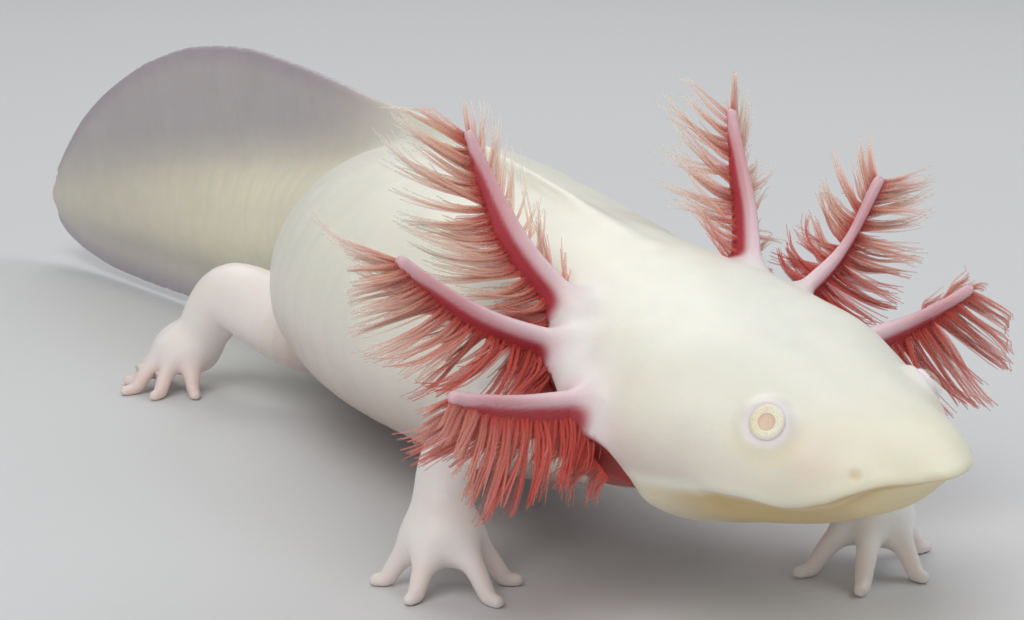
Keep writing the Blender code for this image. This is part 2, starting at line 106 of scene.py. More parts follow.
gills = {
    # each stalk's root, middle and tip: behind the eyes, out from the middle, height
    "paths": {
        "gill_right_top": ((27.5, 12, 29), (33.6, 17, 38.5), (38.4, 18.4, 48.2)),
        "gill_right_middle": ((25, 15, 26.8), (27.4, 25.6, 31.4), (30, 33.6, 38)),
        "gill_right_bottom": ((18.8, 16.5, 22.8), (18.8, 27.5, 24.2), (18.6, 36, 26.8)),
        "gill_left_top": ((27.5, 12, 29), (33.2, 16.6, 38), (37, 18.2, 47)),
        "gill_left_middle": ((25, 15, 26.8), (26.6, 25.6, 31.6), (27.8, 32.8, 39)),
        "gill_left_bottom": ((18.8, 16.5, 22.8), (17, 27.5, 25), (15.6, 35, 28)),
    },
    # a stalk is a blade: a pale ridge, and a red edge behind it that carries the filaments
    "ridgeRadii": (1.0, 0.52, 0.2), "edgeRadii": (1.0, 0.55, 0.2), "bladeWidth": (2.1, 2.2, 0.3),
    # shares of the width at which the ridge, the middle and the edge run
    "ridgeAt": 0.45, "middleAt": 0.05, "edgeAt": 0.55, "steps": 17, "boxMargin": 10,
    "span": (22, 62),       # the part of the spine that the gills' rims and slits lie along
    # how far each blade leans down round its stalk, in degrees
    "lean": {"gill_right_top": 0, "gill_right_middle": 46, "gill_right_bottom": 76,
             "gill_left_top": 0, "gill_left_middle": 52, "gill_left_bottom": 60},
    # and how much further the blade itself turns outwards than its filaments do
    "turn": {"gill_right_top": 34},
    # the fleshy rim that joins the three roots, and its radius; the same frame
    "rim": ((28.5, 12.3, 29.3, 1.7), (26.2, 15.4, 27, 1.9), (23, 17.6, 25, 1.8), (19.6, 18.5, 22, 1.7),
            (16.6, 18.0, 18.6, 0.9), (15.0, 16.6, 17, 0.4)),
    # and the slit behind it, from which the fringes' red shows
    "slit": ((31, 13.4, 30, 1.2), (28.8, 16.2, 27, 1.5), (26.4, 18.2, 24.5, 1.7), (22.6, 19.4, 21.3, 1.7),
             (16.4, 19.4, 17, 1.9), (14.0, 15.4, 13, 1.7), (13.4, 10.5, 10.4, 0.7)),
}
limbs = {
    # ahead of the shoulder, out, height, radius
    "paths": {
        "arm_right": ((3, 9, 18.5, 5.2), (0.8, 17, 17.2, 4.2), (-1, 22.2, 13.6, 3.1), (-0.2, 23.4, 9.8, 3.2),
                      (1, 24.1, 6.4, 3.3)),
        "arm_left": ((2, 9, 17, 5.2), (1.6, 17, 16.6, 4.4), (3.6, 22.6, 14, 3.7), (7.8, 24.2, 9.4, 3.2),
                     (12, 22.4, 6, 3.1)),
        "leg_right": ((-71, 5, 10.5, 7.4), (-75, 14.5, 10.6, 6.1), (-83, 22.5, 13.8, 4.6), (-87.4, 25.4, 9.2, 3.7),
                      (-89.2, 26.4, 5.6, 3.1)),
        "leg_left": ((-76, 5, 13.5, 7.6), (-72, 14.5, 13, 6.2), (-65.5, 22.4, 14.2, 4.6), (-62.6, 26, 9.4, 3.7),
                     (-64.2, 27.6, 5.6, 3.1)),
    },
    # the ends of the fingers and toes: ahead of the shoulder, out
    "tips": {
        "arm_right": ((-1.1, 30.9), (6.3, 29.6), (10.4, 21.4), (4.6, 16.8)),
        "arm_left": ((11, 29.8), (20.4, 24), (21.6, 15.6), (13.8, 12.4)),
        "leg_right": ((-82.6, 28.6), (-84.4, 33.8), (-88.6, 36.8), (-93.8, 35.2), (-96.2, 30.2)),
        "leg_left": ((-56.4, 27.6), (-57.2, 33.2), (-61.4, 37.2), (-67, 36.8), (-71, 32.4)),
    },
    # shares of the way from palm to tip: a finger slopes down, and its last part lies on the floor
    "fingerShares": (0.15, 0.6, 0.87, 1.0), "fingerRadii": (1.8, 1.15, 0.86, 0.74),
    "fingerHeights": (6.4, 3.3, 0.64, 0.56),
    "palm": (4.3, 4.2, 3.2), "palmHeight": 5.7,
    "palmShare": 0.25,      # of the way from the wrist to the fingers' ends
    "steps": 33, "fingerSteps": 13, "boxMargin": 13,
}
skin = {
    "voxel": 0.85,          # the first, even mesh
    # how softly limbs and gills grow out of the body, and how tightly they meet it further out
    "limbBlend": 4.0, "gillBlend": 3.4, "farBlend": 0.3, "limbRooted": 0.45, "gillRooted": 0.5,
    # and how softly the other shapes join or are cut
    "finBlend": 2.4, "palmBlend": 2.2, "fingerBlend": 2.0, "webBlend": 0.5, "bladeBlend": 1.2,
    "rimBlend": 2.4, "slitBlend": 1.0, "collarBlend": 1.6, "hollowBlend": 0.4, "floorBlend": 0.3,
    # the solids that the skin stands for
    "flesh": ("head", "lower_jaw", "neck", "trunk", "tail", "tail_fin", "dorsal_fin", "upper_arm_left",
              "upper_arm_right", "forearm_left", "forearm_right", "hand_left", "hand_right", "thigh_left",
              "thigh_right", "shank_left", "shank_right", "foot_left", "foot_right"),
}


# a smooth curve through a table's rows that never overshoots one: cubic pieces whose slopes are harmonic means
def smoothTable(table, at):
    rows = np.array(table, float)
    x, y = rows[:, 0], rows[:, 1:]
    slopes = np.diff(y, axis=0) / np.diff(x)[:, None]
    tangents = np.zeros_like(y)
    before, after = slopes[:-1], slopes[1:]
    sameWay = before * after > 0
    tangents[1:-1][sameWay] = 2 * before[sameWay] * after[sameWay] / (before + after)[sameWay]
    tangents[0], tangents[-1] = slopes[0], slopes[-1]
    at = np.clip(np.atleast_1d(np.asarray(at, float)), x[0], x[-1])
    i = np.clip(np.searchsorted(x, at) - 1, 0, len(x) - 2)
    step = np.diff(x)[i][:, None]
    t = (at[:, None] - x[i][:, None]) / step
    rise = t * t * (3 - 2 * t)
    bend = tangents[i] * step * t * (1 - t) ** 2 - tangents[i + 1] * step * t * t * (1 - t)
    return y[i] + (y[i + 1] - y[i]) * rise + bend


# 0 below low, 1 above high, an even S between
def fade(value, low, high):
    t = np.clip((value - low) / (high - low), 0, 1)
    return t * t * (3 - 2 * t)


# a bell: 1 where value is centre, falling off over width
def bell(value, centre, width):
    return np.exp(-(((value - centre) / width) ** 2))


# each vector divided by its length
def unit(vectors):
    return vectors / np.maximum(np.linalg.norm(vectors, axis=-1, keepdims=True), 1e-9)


# repeatable value noise: lattice values from a hash of the cell's numbers, blended over each cell
def softNoise(points, size, seed=0):
    cell = np.asarray(points) / size
    low = np.floor(cell).astype(np.int64)
    t = cell - low
    t = t * t * (3 - 2 * t)
    total = np.zeros(len(cell))
    for corner in range(8):
        step = np.array([corner & 1, corner >> 1 & 1, corner >> 2 & 1])
        at = low + step
        mixed = at[:, 0] * 73856093 ^ at[:, 1] * 19349663 ^ at[:, 2] * 83492791 ^ (seed * 2654435761)
        mixed = (mixed ^ (mixed >> 13)) * 1274126177 & 0x7FFFFFFF
        total += ((mixed ^ (mixed >> 16)) % 4096 / 2047.5 - 1) * np.prod(np.where(step, t, 1 - t), axis=1)
    return total


# the spine seen from above, found by following the heading backwards from the snout in quarter millimetres
spineStep = 0.25
spineAt = np.arange(-20, body["length"] + 20, spineStep)
spineTurn = np.radians(smoothTable(body["heading"], spineAt)[:, 0])
spineSteps = np.stack([-np.sin(spineTurn), np.cos(spineTurn)], 1) * spineStep
spinePoints = np.vstack([[0, 0], np.cumsum(spineSteps[:-1], axis=0)])
spinePoints += body["shoulder"] - spinePoints[int((body["shoulderAt"] + 20) / spineStep)]
bodyTable = smoothTable(body["shape"], spineAt)
upperTable = smoothTable(fin["upper"], spineAt)[:, 0]
lowerTable = smoothTable(fin["lower"], spineAt)[:, 0]
headTurn = math.radians(body["heading"][0][1])
headBack = np.array([-math.sin(headTurn), math.cos(headTurn), 0])
headLeft = np.array([math.cos(headTurn), math.sin(headTurn), 0])


# a column of the spine's values at distances along it, by straight steps between its rows
def along(column, at):
    return np.interp(at, spineAt, column)


# points from their distance along the spine, distance to the animal's left, and height
def place(at, side, height):
    at, side, height = np.broadcast_arrays(*(np.asarray(v, float) for v in (at, side, height)))
    turn = along(spineTurn, at)
    return np.stack([along(spinePoints[:, 0], at) + side * np.cos(turn),
                     along(spinePoints[:, 1], at) + side * np.sin(turn), height], -1)


# points in the head's own straight frame: the eyes' middle, moved back, to the left and up
def headPlace(behindEyes, side, height):
    behindEyes, side, height = (np.asarray(v, float)[..., None] for v in (behindEyes, side, height))
    return place(body["eyeAt"], 0, 0) + behindEyes * headBack + side * headLeft + height * straightUp


# the reverse of place: walk along the spine until the offset is square to it
def spineCoordinates(points):
    at = np.interp(points[:, 1], spinePoints[:, 1], spineAt)
    for _ in range(5):
        turn = along(spineTurn, at)
        dx = points[:, 0] - along(spinePoints[:, 0], at)
        dy = points[:, 1] - along(spinePoints[:, 1], at)
        at = at + dy * np.cos(turn) - dx * np.sin(turn)
    turn = along(spineTurn, at)
    dx = points[:, 0] - along(spinePoints[:, 0], at)
    dy = points[:, 1] - along(spinePoints[:, 1], at)
    return at, dx * np.cos(turn) + dy * np.sin(turn)


# a limb's points: the shoulder's place, moved forward and out to the limb's own side
def limbPoint(ahead, out, height, sign):
    return np.stack(np.broadcast_arrays(body["shoulder"][0] + sign * np.asarray(out, float),
                                        body["shoulder"][1] - np.asarray(ahead, float), height), -1)


# the flesh is one smooth shape, given by how far a point lies outside it, in millimetres
# two shapes joined with a fillet: the lesser distance, less a parabola where both are within reach
def blendUnion(one, other, reach):
    overlap = np.maximum(reach - np.abs(one - other), 0)
    return np.minimum(one, other) - overlap**2 / (4 * reach)


# what lies in both shapes, with a fillet: the same sum with every sign turned
def blendCut(one, other, reach):
    return -blendUnion(-one, -other, reach)


# a superellipse about the spine, rounded at the snout and tail: its level, divided by its slope
def bodyDistance(at, side, height):
    halfWidth, top, widest, under, fullness = (along(column, at) for column in bodyTable.T)
    halfHeight = np.where(height > widest, top - widest, widest - under)
    a, b = np.abs(side) / halfWidth, np.abs(height - widest) / halfHeight
    level = np.maximum((a**fullness + b**fullness) ** (1 / fullness), 1e-4)
    slope = np.hypot((a / level) ** (fullness - 1) / halfWidth, (b / level) ** (fullness - 1) / halfHeight)
    front = np.maximum(1 - at / body["nose"], 0)
    rear = np.maximum(1 - (body["length"] - at) / body["tailEnd"], 0)
    whole = np.sqrt(level**2 + front**2 + rear**2)
    steepness = np.sqrt((level * slope) ** 2 + (front / body["nose"]) ** 2 + (rear / body["tailEnd"]) ** 2) / whole
    return (whole - 1) / np.maximum(steepness, 0.01)


# an upright sheet round the spine, thick at its root and rounded at its edge
def finDistance(at, side, height):
    upper, lower = along(upperTable, at), along(lowerTable, at)
    steepUpper = along(np.gradient(upperTable, spineStep), at)
    steepLower = along(np.gradient(lowerTable, spineStep), at)
    _, top, _, under, _ = (along(column, at) for column in bodyTable.T)
    within = (upper - height) / np.sqrt(1 + steepUpper**2)
    below = (height - lower) / np.sqrt(1 + steepLower**2)
    within = np.minimum(np.minimum(within, below), at - fin["begins"])
    within = -blendCut(-within, -(body["length"] - 0.35 - at), 2.0)
    rootHigh = np.minimum(top - fin["rootDepth"], upper - 0.8)
    rootLow = np.maximum(under + fin["rootDepth"], lower + 0.8)
    share = np.maximum((height - rootHigh) / (upper - rootHigh), (rootLow - height) / (rootLow - lower))
    half = fin["rootHalf"] + (fin["edgeHalf"] - fin["rootHalf"]) * np.clip(share, 0, 1)
    half = np.minimum(half, fin["edgeHalf"] + 0.12 * np.maximum(body["length"] - at, 0))
    edge = fin["edgeHalf"]
    rim = np.hypot(side, np.maximum(edge - within, 0)) - edge
    return np.where(within < edge, rim, np.abs(side) - half)


# the least distance to a chain of tapered pieces, and the share of the chain's length where it is
def chainDistance(points, path, radii):
    best, share = np.full(len(points), 1e3), np.zeros(len(points))
    lengths = np.linalg.norm(np.diff(path, axis=0), axis=1)
    start = np.concatenate([[0], np.cumsum(lengths)])
    for i, length in enumerate(lengths):
        run = path[i + 1] - path[i]
        t = np.clip((points - path[i]) @ run / length**2, 0, 1)
        gap = np.linalg.norm(points - path[i] - t[:, None] * run, axis=1) - radii[i] - t * (radii[i + 1] - radii[i])
        nearer = gap < best
        best[nearer] = gap[nearer]
        share[nearer] = ((start[i] + t * length) / start[-1])[nearer]
    return best, share


# an ellipsoid: its level, which is 1 on it, times (level - 1), divided by the length of offset / radii squared
def ellipsoidDistance(points, centre, radii):
    offset = points - centre
    level = np.linalg.norm(offset / radii, axis=1)
    return level * (level - 1) / np.maximum(np.linalg.norm(offset / np.square(radii), axis=1), 1e-6)


# an evenly stepped smooth curve through a few rows of numbers
def curveThrough(rows, count):
    rows = np.asarray(rows, float)
    return smoothTable(np.column_stack([np.arange(len(rows)), rows]), np.linspace(0, len(rows) - 1, count))


# what the limbs and gills are made of: smooth chains through their tables, palms, and the box round each.
# a finger's joints stand at shares of the way from palm to tip; a blade's chains run side by side across a stalk
def makeBranches():
    branches = []
    for name, table in limbs["paths"].items():
        sign = -1 if name.endswith("right") else 1
        rows = curveThrough([[*limbPoint(*row[:3], sign), row[3]] for row in table], limbs["steps"])
        wrist = limbPoint(*table[-1][:3], sign)
        tips = np.array([limbPoint(ahead, out, 0, sign) for ahead, out in limbs["tips"][name]])
        palm = wrist + limbs["palmShare"] * (tips.mean(axis=0) - wrist)
        palm[2] = limbs["palmHeight"]
        fingers = []
        for tip in tips:
            bones = palm + np.array(limbs["fingerShares"])[:, None] * (tip - palm)
            bones[:, 2] = limbs["fingerHeights"]
            fingers.append(curveThrough(np.column_stack([bones, limbs["fingerRadii"]]), limbs["fingerSteps"]))
        everything = np.vstack([rows[:, :3], *(finger[:, :3] for finger in fingers)])
        branches.append({"name": name, "sign": sign, "path": rows[:, :3], "radii": rows[:, 3], "palm": palm,
                         "fingers": fingers, "blend": skin["limbBlend"], "rooted": skin["limbRooted"],
                         "low": everything.min(axis=0) - limbs["boxMargin"],
                         "high": everything.max(axis=0) + limbs["boxMargin"]})
    for name, rows in gills["paths"].items():
        sign = -1 if "right" in name else 1
        path = curveThrough([headPlace(behind, sign * out, height) for behind, out, height in rows],
                            gills["steps"])
        run = unit(np.gradient(path, axis=0))
        back = unit(headBack - run * (run @ headBack)[:, None])
        beside = np.cross(run, back)
        lean = math.radians(gills["lean"][name]) * np.sign(-beside[:, 2:])
        back = np.cos(lean) * back + np.sin(lean) * beside
        ridge, edge, width = (curveThrough([[v] for v in gills[key]], gills["steps"])[:, 0]
                              for key in ("ridgeRadii", "edgeRadii", "bladeWidth"))
        turn = math.radians(gills["turn"].get(name, 0)) * np.sign(-beside[:, 2:])
        blade = np.cos(turn) * back + np.sin(turn) * np.cross(run, back)
        branches.append({"name": name, "sign": sign, "level": name.split("_")[-1], "path": path, "radii": ridge,
                         "ridge": path - gills["ridgeAt"] * width[:, None] * blade,
                         "middle": path + gills["middleAt"] * width[:, None] * blade,
                         "edge": path + gills["edgeAt"] * width[:, None] * blade,
                         "middleRadii": 0.4 * (ridge + edge), "edgeRadii": edge, "width": width, "back": back,
                         "run": run, "palm": None, "blend": skin["gillBlend"], "rooted": skin["gillRooted"],
                         "low": path.min(axis=0) - gills["boxMargin"],
                         "high": path.max(axis=0) + gills["boxMargin"]})
    return branches


branches = makeBranches()
eyes = []
for sideName, sign in (("left", 1), ("right", -1)):
    centre = headPlace(eye["behind"], sign * eye["side"], eye["height"])
    behind, out, up = eye["axis"]
    eyes.append({"name": sideName, "sign": sign, "centre": centre,
                 "axis": unit(behind * headBack + out * sign * headLeft + up * straightUp)})


# the rims of flesh that join each side's gill roots, and the slits behind them: -1 is the right side
rims = {}
for sign in (-1, 1):
    rims[sign] = {key: curveThrough([[*headPlace(*np.multiply(row[:3], (1, sign, 1))), row[3]]
                                     for row in gills[key]], 21) for key in ("rim", "slit")}


# rows of place and radius, parted into the two
def asChain(rows):
    return rows[:, :3], rows[:, 3]


# which points lie in the box round a limb or gill
def inBox(branch, points):
    return ((points > branch["low"]) & (points < branch["high"])).all(axis=1)


# which distances along the spine lie beside the gills
def byGills(at):
    return (at > gills["span"][0]) & (at < gills["span"][1])


# how far points lie outside a limb or a gill's stalk, and their share of its length: its chains, joined in turn
def branchDistance(branch, points):
    if branch["palm"] is None:
        gap, share = chainDistance(points, branch["ridge"], branch["radii"])
        for part in ("middle", "edge"):
            gap = blendUnion(gap, chainDistance(points, branch[part], branch[part + "Radii"])[0], skin["bladeBlend"])
        return gap, share
    gap, share = chainDistance(points, branch["path"], branch["radii"])
    gap = blendUnion(gap, ellipsoidDistance(points, branch["palm"], limbs["palm"]), skin["palmBlend"])
    together, *others = (chainDistance(points, *asChain(finger))[0] for finger in branch["fingers"])
    for finger in others:
        together = blendUnion(together, finger, skin["webBlend"])
    return blendUnion(gap, together, skin["fingerBlend"]), share


# how far points lie outside the flesh: body, fins, rims, limbs and gills joined in turn, then slits, the eyes'
# hollows and the floor cut away
def skinDistance(points):
    at, side = spineCoordinates(points)
    height = points[:, 2]
    gap = blendUnion(bodyDistance(at, side, height), finDistance(at, side, height), skin["finBlend"])
    near = byGills(at)
    if near.any():
        for rim in rims.values():
            flesh, slit = (chainDistance(points[near], *asChain(rim[key]))[0] for key in ("rim", "slit"))
            gap[near] = blendUnion(gap[near], flesh, skin["rimBlend"])
            gap[near] = blendCut(gap[near], -slit, skin["slitBlend"])
    for one in eyes:       # a raised ring of skin carries each eye
        collar = np.linalg.norm(points - (one["centre"] - eye["collarBack"] * one["axis"]), axis=1)
        gap = blendUnion(gap, collar - eye["collarRadius"], skin["collarBlend"])
    for branch in branches:
        near = inBox(branch, points)
        if near.any():
            grown, share = branchDistance(branch, points[near])
            rooted = fade(branch["rooted"] - share, 0, branch["rooted"] - 0.05)
            reach = skin["farBlend"] + (branch["blend"] - skin["farBlend"]) * rooted
            gap[near] = blendUnion(gap[near], grown, reach)
    for one in eyes:
        hollow = np.linalg.norm(points - (one["centre"] + eye["hollowAhead"][one["name"]] * one["axis"]), axis=1)
        gap = blendCut(gap, eye["hollowRadius"] - hollow, skin["hollowBlend"])
    return blendCut(gap, -height, skin["floorBlend"])


# pulls anything that would leave the solids' own box back inside it
def insideBox(points, margin):
    low, high = (np.array(corner) / millimetre for corner in cadBox)
    return np.clip(points, low + margin, high - margin)


# quads between rings of equal counts; ends are closed by one face each
def loftFaces(rings, sides, start=0):
    r, k = np.meshgrid(np.arange(rings - 1), np.arange(sides), indexing="ij")
    a, b = r * sides + k, r * sides + (k + 1) % sides
    quads = np.stack([a, b, b + sides, a + sides], -1).reshape(-1, 4) + start
    ends = [tuple((np.arange(sides)[::-1] + start).tolist()),
            tuple((np.arange(sides) + (rings - 1) * sides + start).tolist())]
    return [tuple(q) for q in quads.tolist()] + ends


# rings of a tube along points: the radius times cos and sin of the angle, on two lines square to the way it runs
def tubeRings(path, radii, sides):
    run = unit(np.gradient(path, axis=0))
    across = np.cross(run, (0, 0, 1.0))
    steep = np.linalg.norm(across, axis=1) < 0.2
    across[steep] = np.cross(run[steep], (0, 1.0, 0))
    across = unit(across)
    other = np.cross(across, run)
    angle = np.linspace(0, 2 * math.pi, sides, endpoint=False)[None, :, None]
    circle = np.cos(angle) * across[:, None] + np.sin(angle) * other[:, None]
    return path[:, None] + np.asarray(radii)[:, None, None] * circle


# rings of the body's core: cos and sin of the angle to the power 2 / fullness, times the half sizes there
def bodyRings(distances, sides):
    halfWidth, top, widest, under, fullness = (along(column, distances)[:, None] for column in bodyTable.T)
    nose = np.sqrt(1 - (1 - np.clip(distances / body["nose"], 0, 1)) ** 2)[:, None]
    angle = np.linspace(0, 2 * math.pi, sides, endpoint=False)[None]
    across = np.sign(np.cos(angle)) * np.abs(np.cos(angle)) ** (2 / fullness)
    upward = np.sign(np.sin(angle)) * np.abs(np.sin(angle)) ** (2 / fullness)
    reach = np.where(upward > 0, top - widest, widest - under) * nose
    return place(distances[:, None], across * halfWidth * nose, widest + upward * reach)


# a mesh from points in millimetres
def newMesh(name, vertices, faces):
    mesh = bpy.data.meshes.new(name)
    mesh.from_pydata((np.asarray(vertices).reshape(-1, 3) * millimetre).tolist(), [], faces)
    mesh.update()
    return mesh


# puts a mesh into the scene
def newPiece(name, mesh):
    piece = bpy.data.objects.new(name, mesh)
    bpy.context.collection.objects.link(piece)
    return piece


# a mesh's points, in millimetres
def readPoints(mesh):
    values = np.empty(len(mesh.vertices) * 3, np.float32)
    mesh.vertices.foreach_get("co", values)
    return values.reshape(-1, 3).astype(float) / millimetre


# puts points in millimetres back into the mesh
def writePoints(mesh, points):
    mesh.vertices.foreach_set("co", (points * millimetre).astype(np.float32).ravel())
    mesh.update()


# the unit normals at a mesh's points
def readNormals(mesh):
    values = np.empty(len(mesh.vertices) * 3, np.float32)
    mesh.vertex_normals.foreach_get("vector", values)
    return values.reshape(-1, 3).astype(float)


# turns every face of a closed mesh outwards
def faceOutwards(mesh):
    work = bmesh.new()
    work.from_mesh(mesh)
    bmesh.ops.recalc_face_normals(work, faces=work.faces)
    work.to_mesh(mesh)
    work.free()


# overlapping rough tubes for the whole animal, a little thicker than it where it is thin
def roughShapes():
    shapes = [bodyRings(np.concatenate([[0.1, 0.6, 1.6, 3.2], np.arange(5, 224, 2.5)]), 40)]
    for low, high in ((57.0, 128.0), (118.0, 229.4)):
        distances = np.arange(low, high, 1.5)
        upper, lower = along(upperTable, distances), along(lowerTable, distances)
        lower = np.where(distances < 124, 20.0, lower)
        ring = [place(distances, side, edge) for side, edge in ((-1, lower), (1, lower), (1, upper), (-1, upper))]
        shapes.append(np.stack(ring, 1))
    shapes += [tubeRings(*asChain(rim["rim"]), 12) for rim in rims.values()]
    for branch in branches:
        if branch["palm"] is None:
            shapes.append(tubeRings(branch["ridge"], branch["radii"] + 0.35, 12))
            shapes += [tubeRings(branch[part], branch[part + "Radii"] + 0.35, 12) for part in ("middle", "edge")]
            continue
        shapes.append(tubeRings(branch["path"], branch["radii"], 12))
        for finger in branch["fingers"]:
            shapes.append(tubeRings(finger[:, :3], finger[:, 3] + 0.3, 8))
        tilt = np.linspace(0.08, math.pi - 0.08, 12)
        centres = branch["palm"] + np.cos(tilt)[:, None] * (0, 0, limbs["palm"][2])
        shapes.append(tubeRings(centres, limbs["palm"][0] * np.sin(tilt), 16))
    return shapes


# an even mesh round all the rough shapes as one
def evenShell(shapes, voxel):
    vertices, faces, start = [], [], 0
    for rings in shapes:
        count, sides = rings.shape[:2]
        vertices.append(rings.reshape(-1, 3))
        faces += loftFaces(count, sides, start)
        start += count * sides
    mesh = newMesh("rough", np.vstack(vertices), faces)
    faceOutwards(mesh)
    rough = newPiece("rough", mesh)
    step = rough.modifiers.new("Even", "REMESH")
    step.mode, step.voxel_size, step.adaptivity = "VOXEL", voxel * millimetre, 0
    shell = bpy.data.meshes.new_from_object(rough.evaluated_get(bpy.context.evaluated_depsgraph_get()))
    bpy.data.objects.remove(rough)
    return shell


# each round draws every point part of the way to its neighbours' average, then moves it along its normal on to
# the smooth shape
def fitToFlesh(mesh, rounds, ease, most=0.6):
    edges = np.empty(len(mesh.edges) * 2, np.int32)
    mesh.edges.foreach_get("vertices", edges)
    one, other = edges.reshape(-1, 2).T
    count = len(mesh.vertices)
    degree = np.maximum(np.bincount(one, minlength=count) + np.bincount(other, minlength=count), 1)
    points = readPoints(mesh)
    for _ in range(rounds):
        average = np.stack([np.bincount(one, points[other, k], count) + np.bincount(other, points[one, k], count)
                            for k in range(3)], 1) / degree[:, None]
        points = points + ease * (average - points)
        writePoints(mesh, points)
        for _ in range(2):
            normals = readNormals(mesh)
            points = points - normals * np.clip(skinDistance(points), -most, most)[:, None]
            writePoints(mesh, points)


# splits every face whose middle the test picks
def refine(mesh, chosen):
    work = bmesh.new()
    work.from_mesh(mesh)
    work.faces.ensure_lookup_table()
    corners = np.array([face.calc_center_median() for face in work.faces]) / millimetre
    picked = chosen(corners)
    edges = {edge for i in np.nonzero(picked)[0] for edge in work.faces[i].edges}
    bmesh.ops.subdivide_edges(work, edges=list(edges), cuts=1, use_grid_fill=True)
    work.to_mesh(mesh)
    work.free()


# where the skin's mesh is split, once or twice: how near a point lies to each of these
detail = {
    "headEnd": 37,                              # the whole head, to this distance from the snout
    "handHeight": 9, "handReach": 14, "stalk": 1.2, "finEdge": 1.3, "finFrom": 60,
    "lips": 1.6, "eye": 4.0, "nostril": 1.7,    # and a second time
}


# the head, the hands and feet, the gills' stalks and the fins' edges
def wantsDetail(points):
    at, _ = spineCoordinates(points)
    chosen = at < detail["headEnd"]
    for branch in branches:
        near = inBox(branch, points)
        if branch["palm"] is None:
            near[near] = branchDistance(branch, points[near])[0] < detail["stalk"]
        else:
            reach = np.linalg.norm((points - branch["palm"])[:, :2], axis=1)
            near &= (points[:, 2] < detail["handHeight"]) & (reach < detail["handReach"])
        chosen |= near
    rim = np.minimum(np.abs(along(upperTable, at) - points[:, 2]), np.abs(points[:, 2] - along(lowerTable, at)))
    return chosen | ((rim < detail["finEdge"]) & (at > detail["finFrom"]))


# how far points lie above the line where the lips meet
def mouthGap(points, at):
    return points[:, 2] - smoothTable(mouth["line"], at)[:, 0]


# the lips, the fronts of the eyes and the nostrils
def wantsFineDetail(points):
    at, _ = spineCoordinates(points)
    chosen = (np.abs(mouthGap(points, at)) < detail["lips"]) & (at < mouth["corner"] + 1.2)
    for one in eyes:
        gap = np.linalg.norm(points - one["centre"], axis=1)
        facing = (points - one["centre"]) @ one["axis"]
        chosen |= (gap < detail["eye"]) & (facing > -1.0)
        chosen |= np.linalg.norm(points - nostrilAt(one["sign"]), axis=1) < detail["nostril"]
    return chosen


# folds and grooves, as moves along the normal, in millimetres
relief = {
    "creaseDepth": 0.24, "creaseWidth": 0.28, "lip": 0.22, "jawInset": 0.5,
    # where a nostril, the hollow before an eye and the muscle behind it are: behind the eyes, out, height
    "nostrilAt": (-8.5, 8.3, 20.0), "hollowAt": (-5.2, 9.0, 22.4), "muscleAt": (10.5, 11.5, 27.5),
    "nostrilRim": 0.08, "nostrilDepth": 0.16, "hollow": 0.35, "muscle": 0.5, "skullDip": 0.35,
    # the fold across the throat: how deep, how far from the snout, how much it bends, and its width
    "gularDepth": 1.1, "gularAt": 33.5, "gularBend": 0.012, "gularWidth": 3.0,
    # the grooves between the ribs: the first, their step and number, how they lean, and their width
    "costalDepth": 0.1, "costalFirst": 55.0, "costalStep": 5.6, "costalCount": 12, "costalLean": 0.12,
    "costalWidth": 0.95,
    # the tail's blocks of muscle: their depth, their step, and how far they bend at the spine
    "blockDepth": 0.14, "blockStep": 5.0, "blockBend": 0.45,
    "unevenness": 0.035,
}


# a spot on either side of the head
def onSide(spot, sign):
    behind, out, height = spot
    return headPlace(behind, sign * out, height)


# the middle of that side's nostril
def nostrilAt(sign):
    return onSide(relief["nostrilAt"], sign)


# 1 on the body's own surface, 0 on limbs and gills
def ownBody(at, side, height):
    return fade(np.abs(bodyDistance(at, side, height)), 2.5, 1.2)


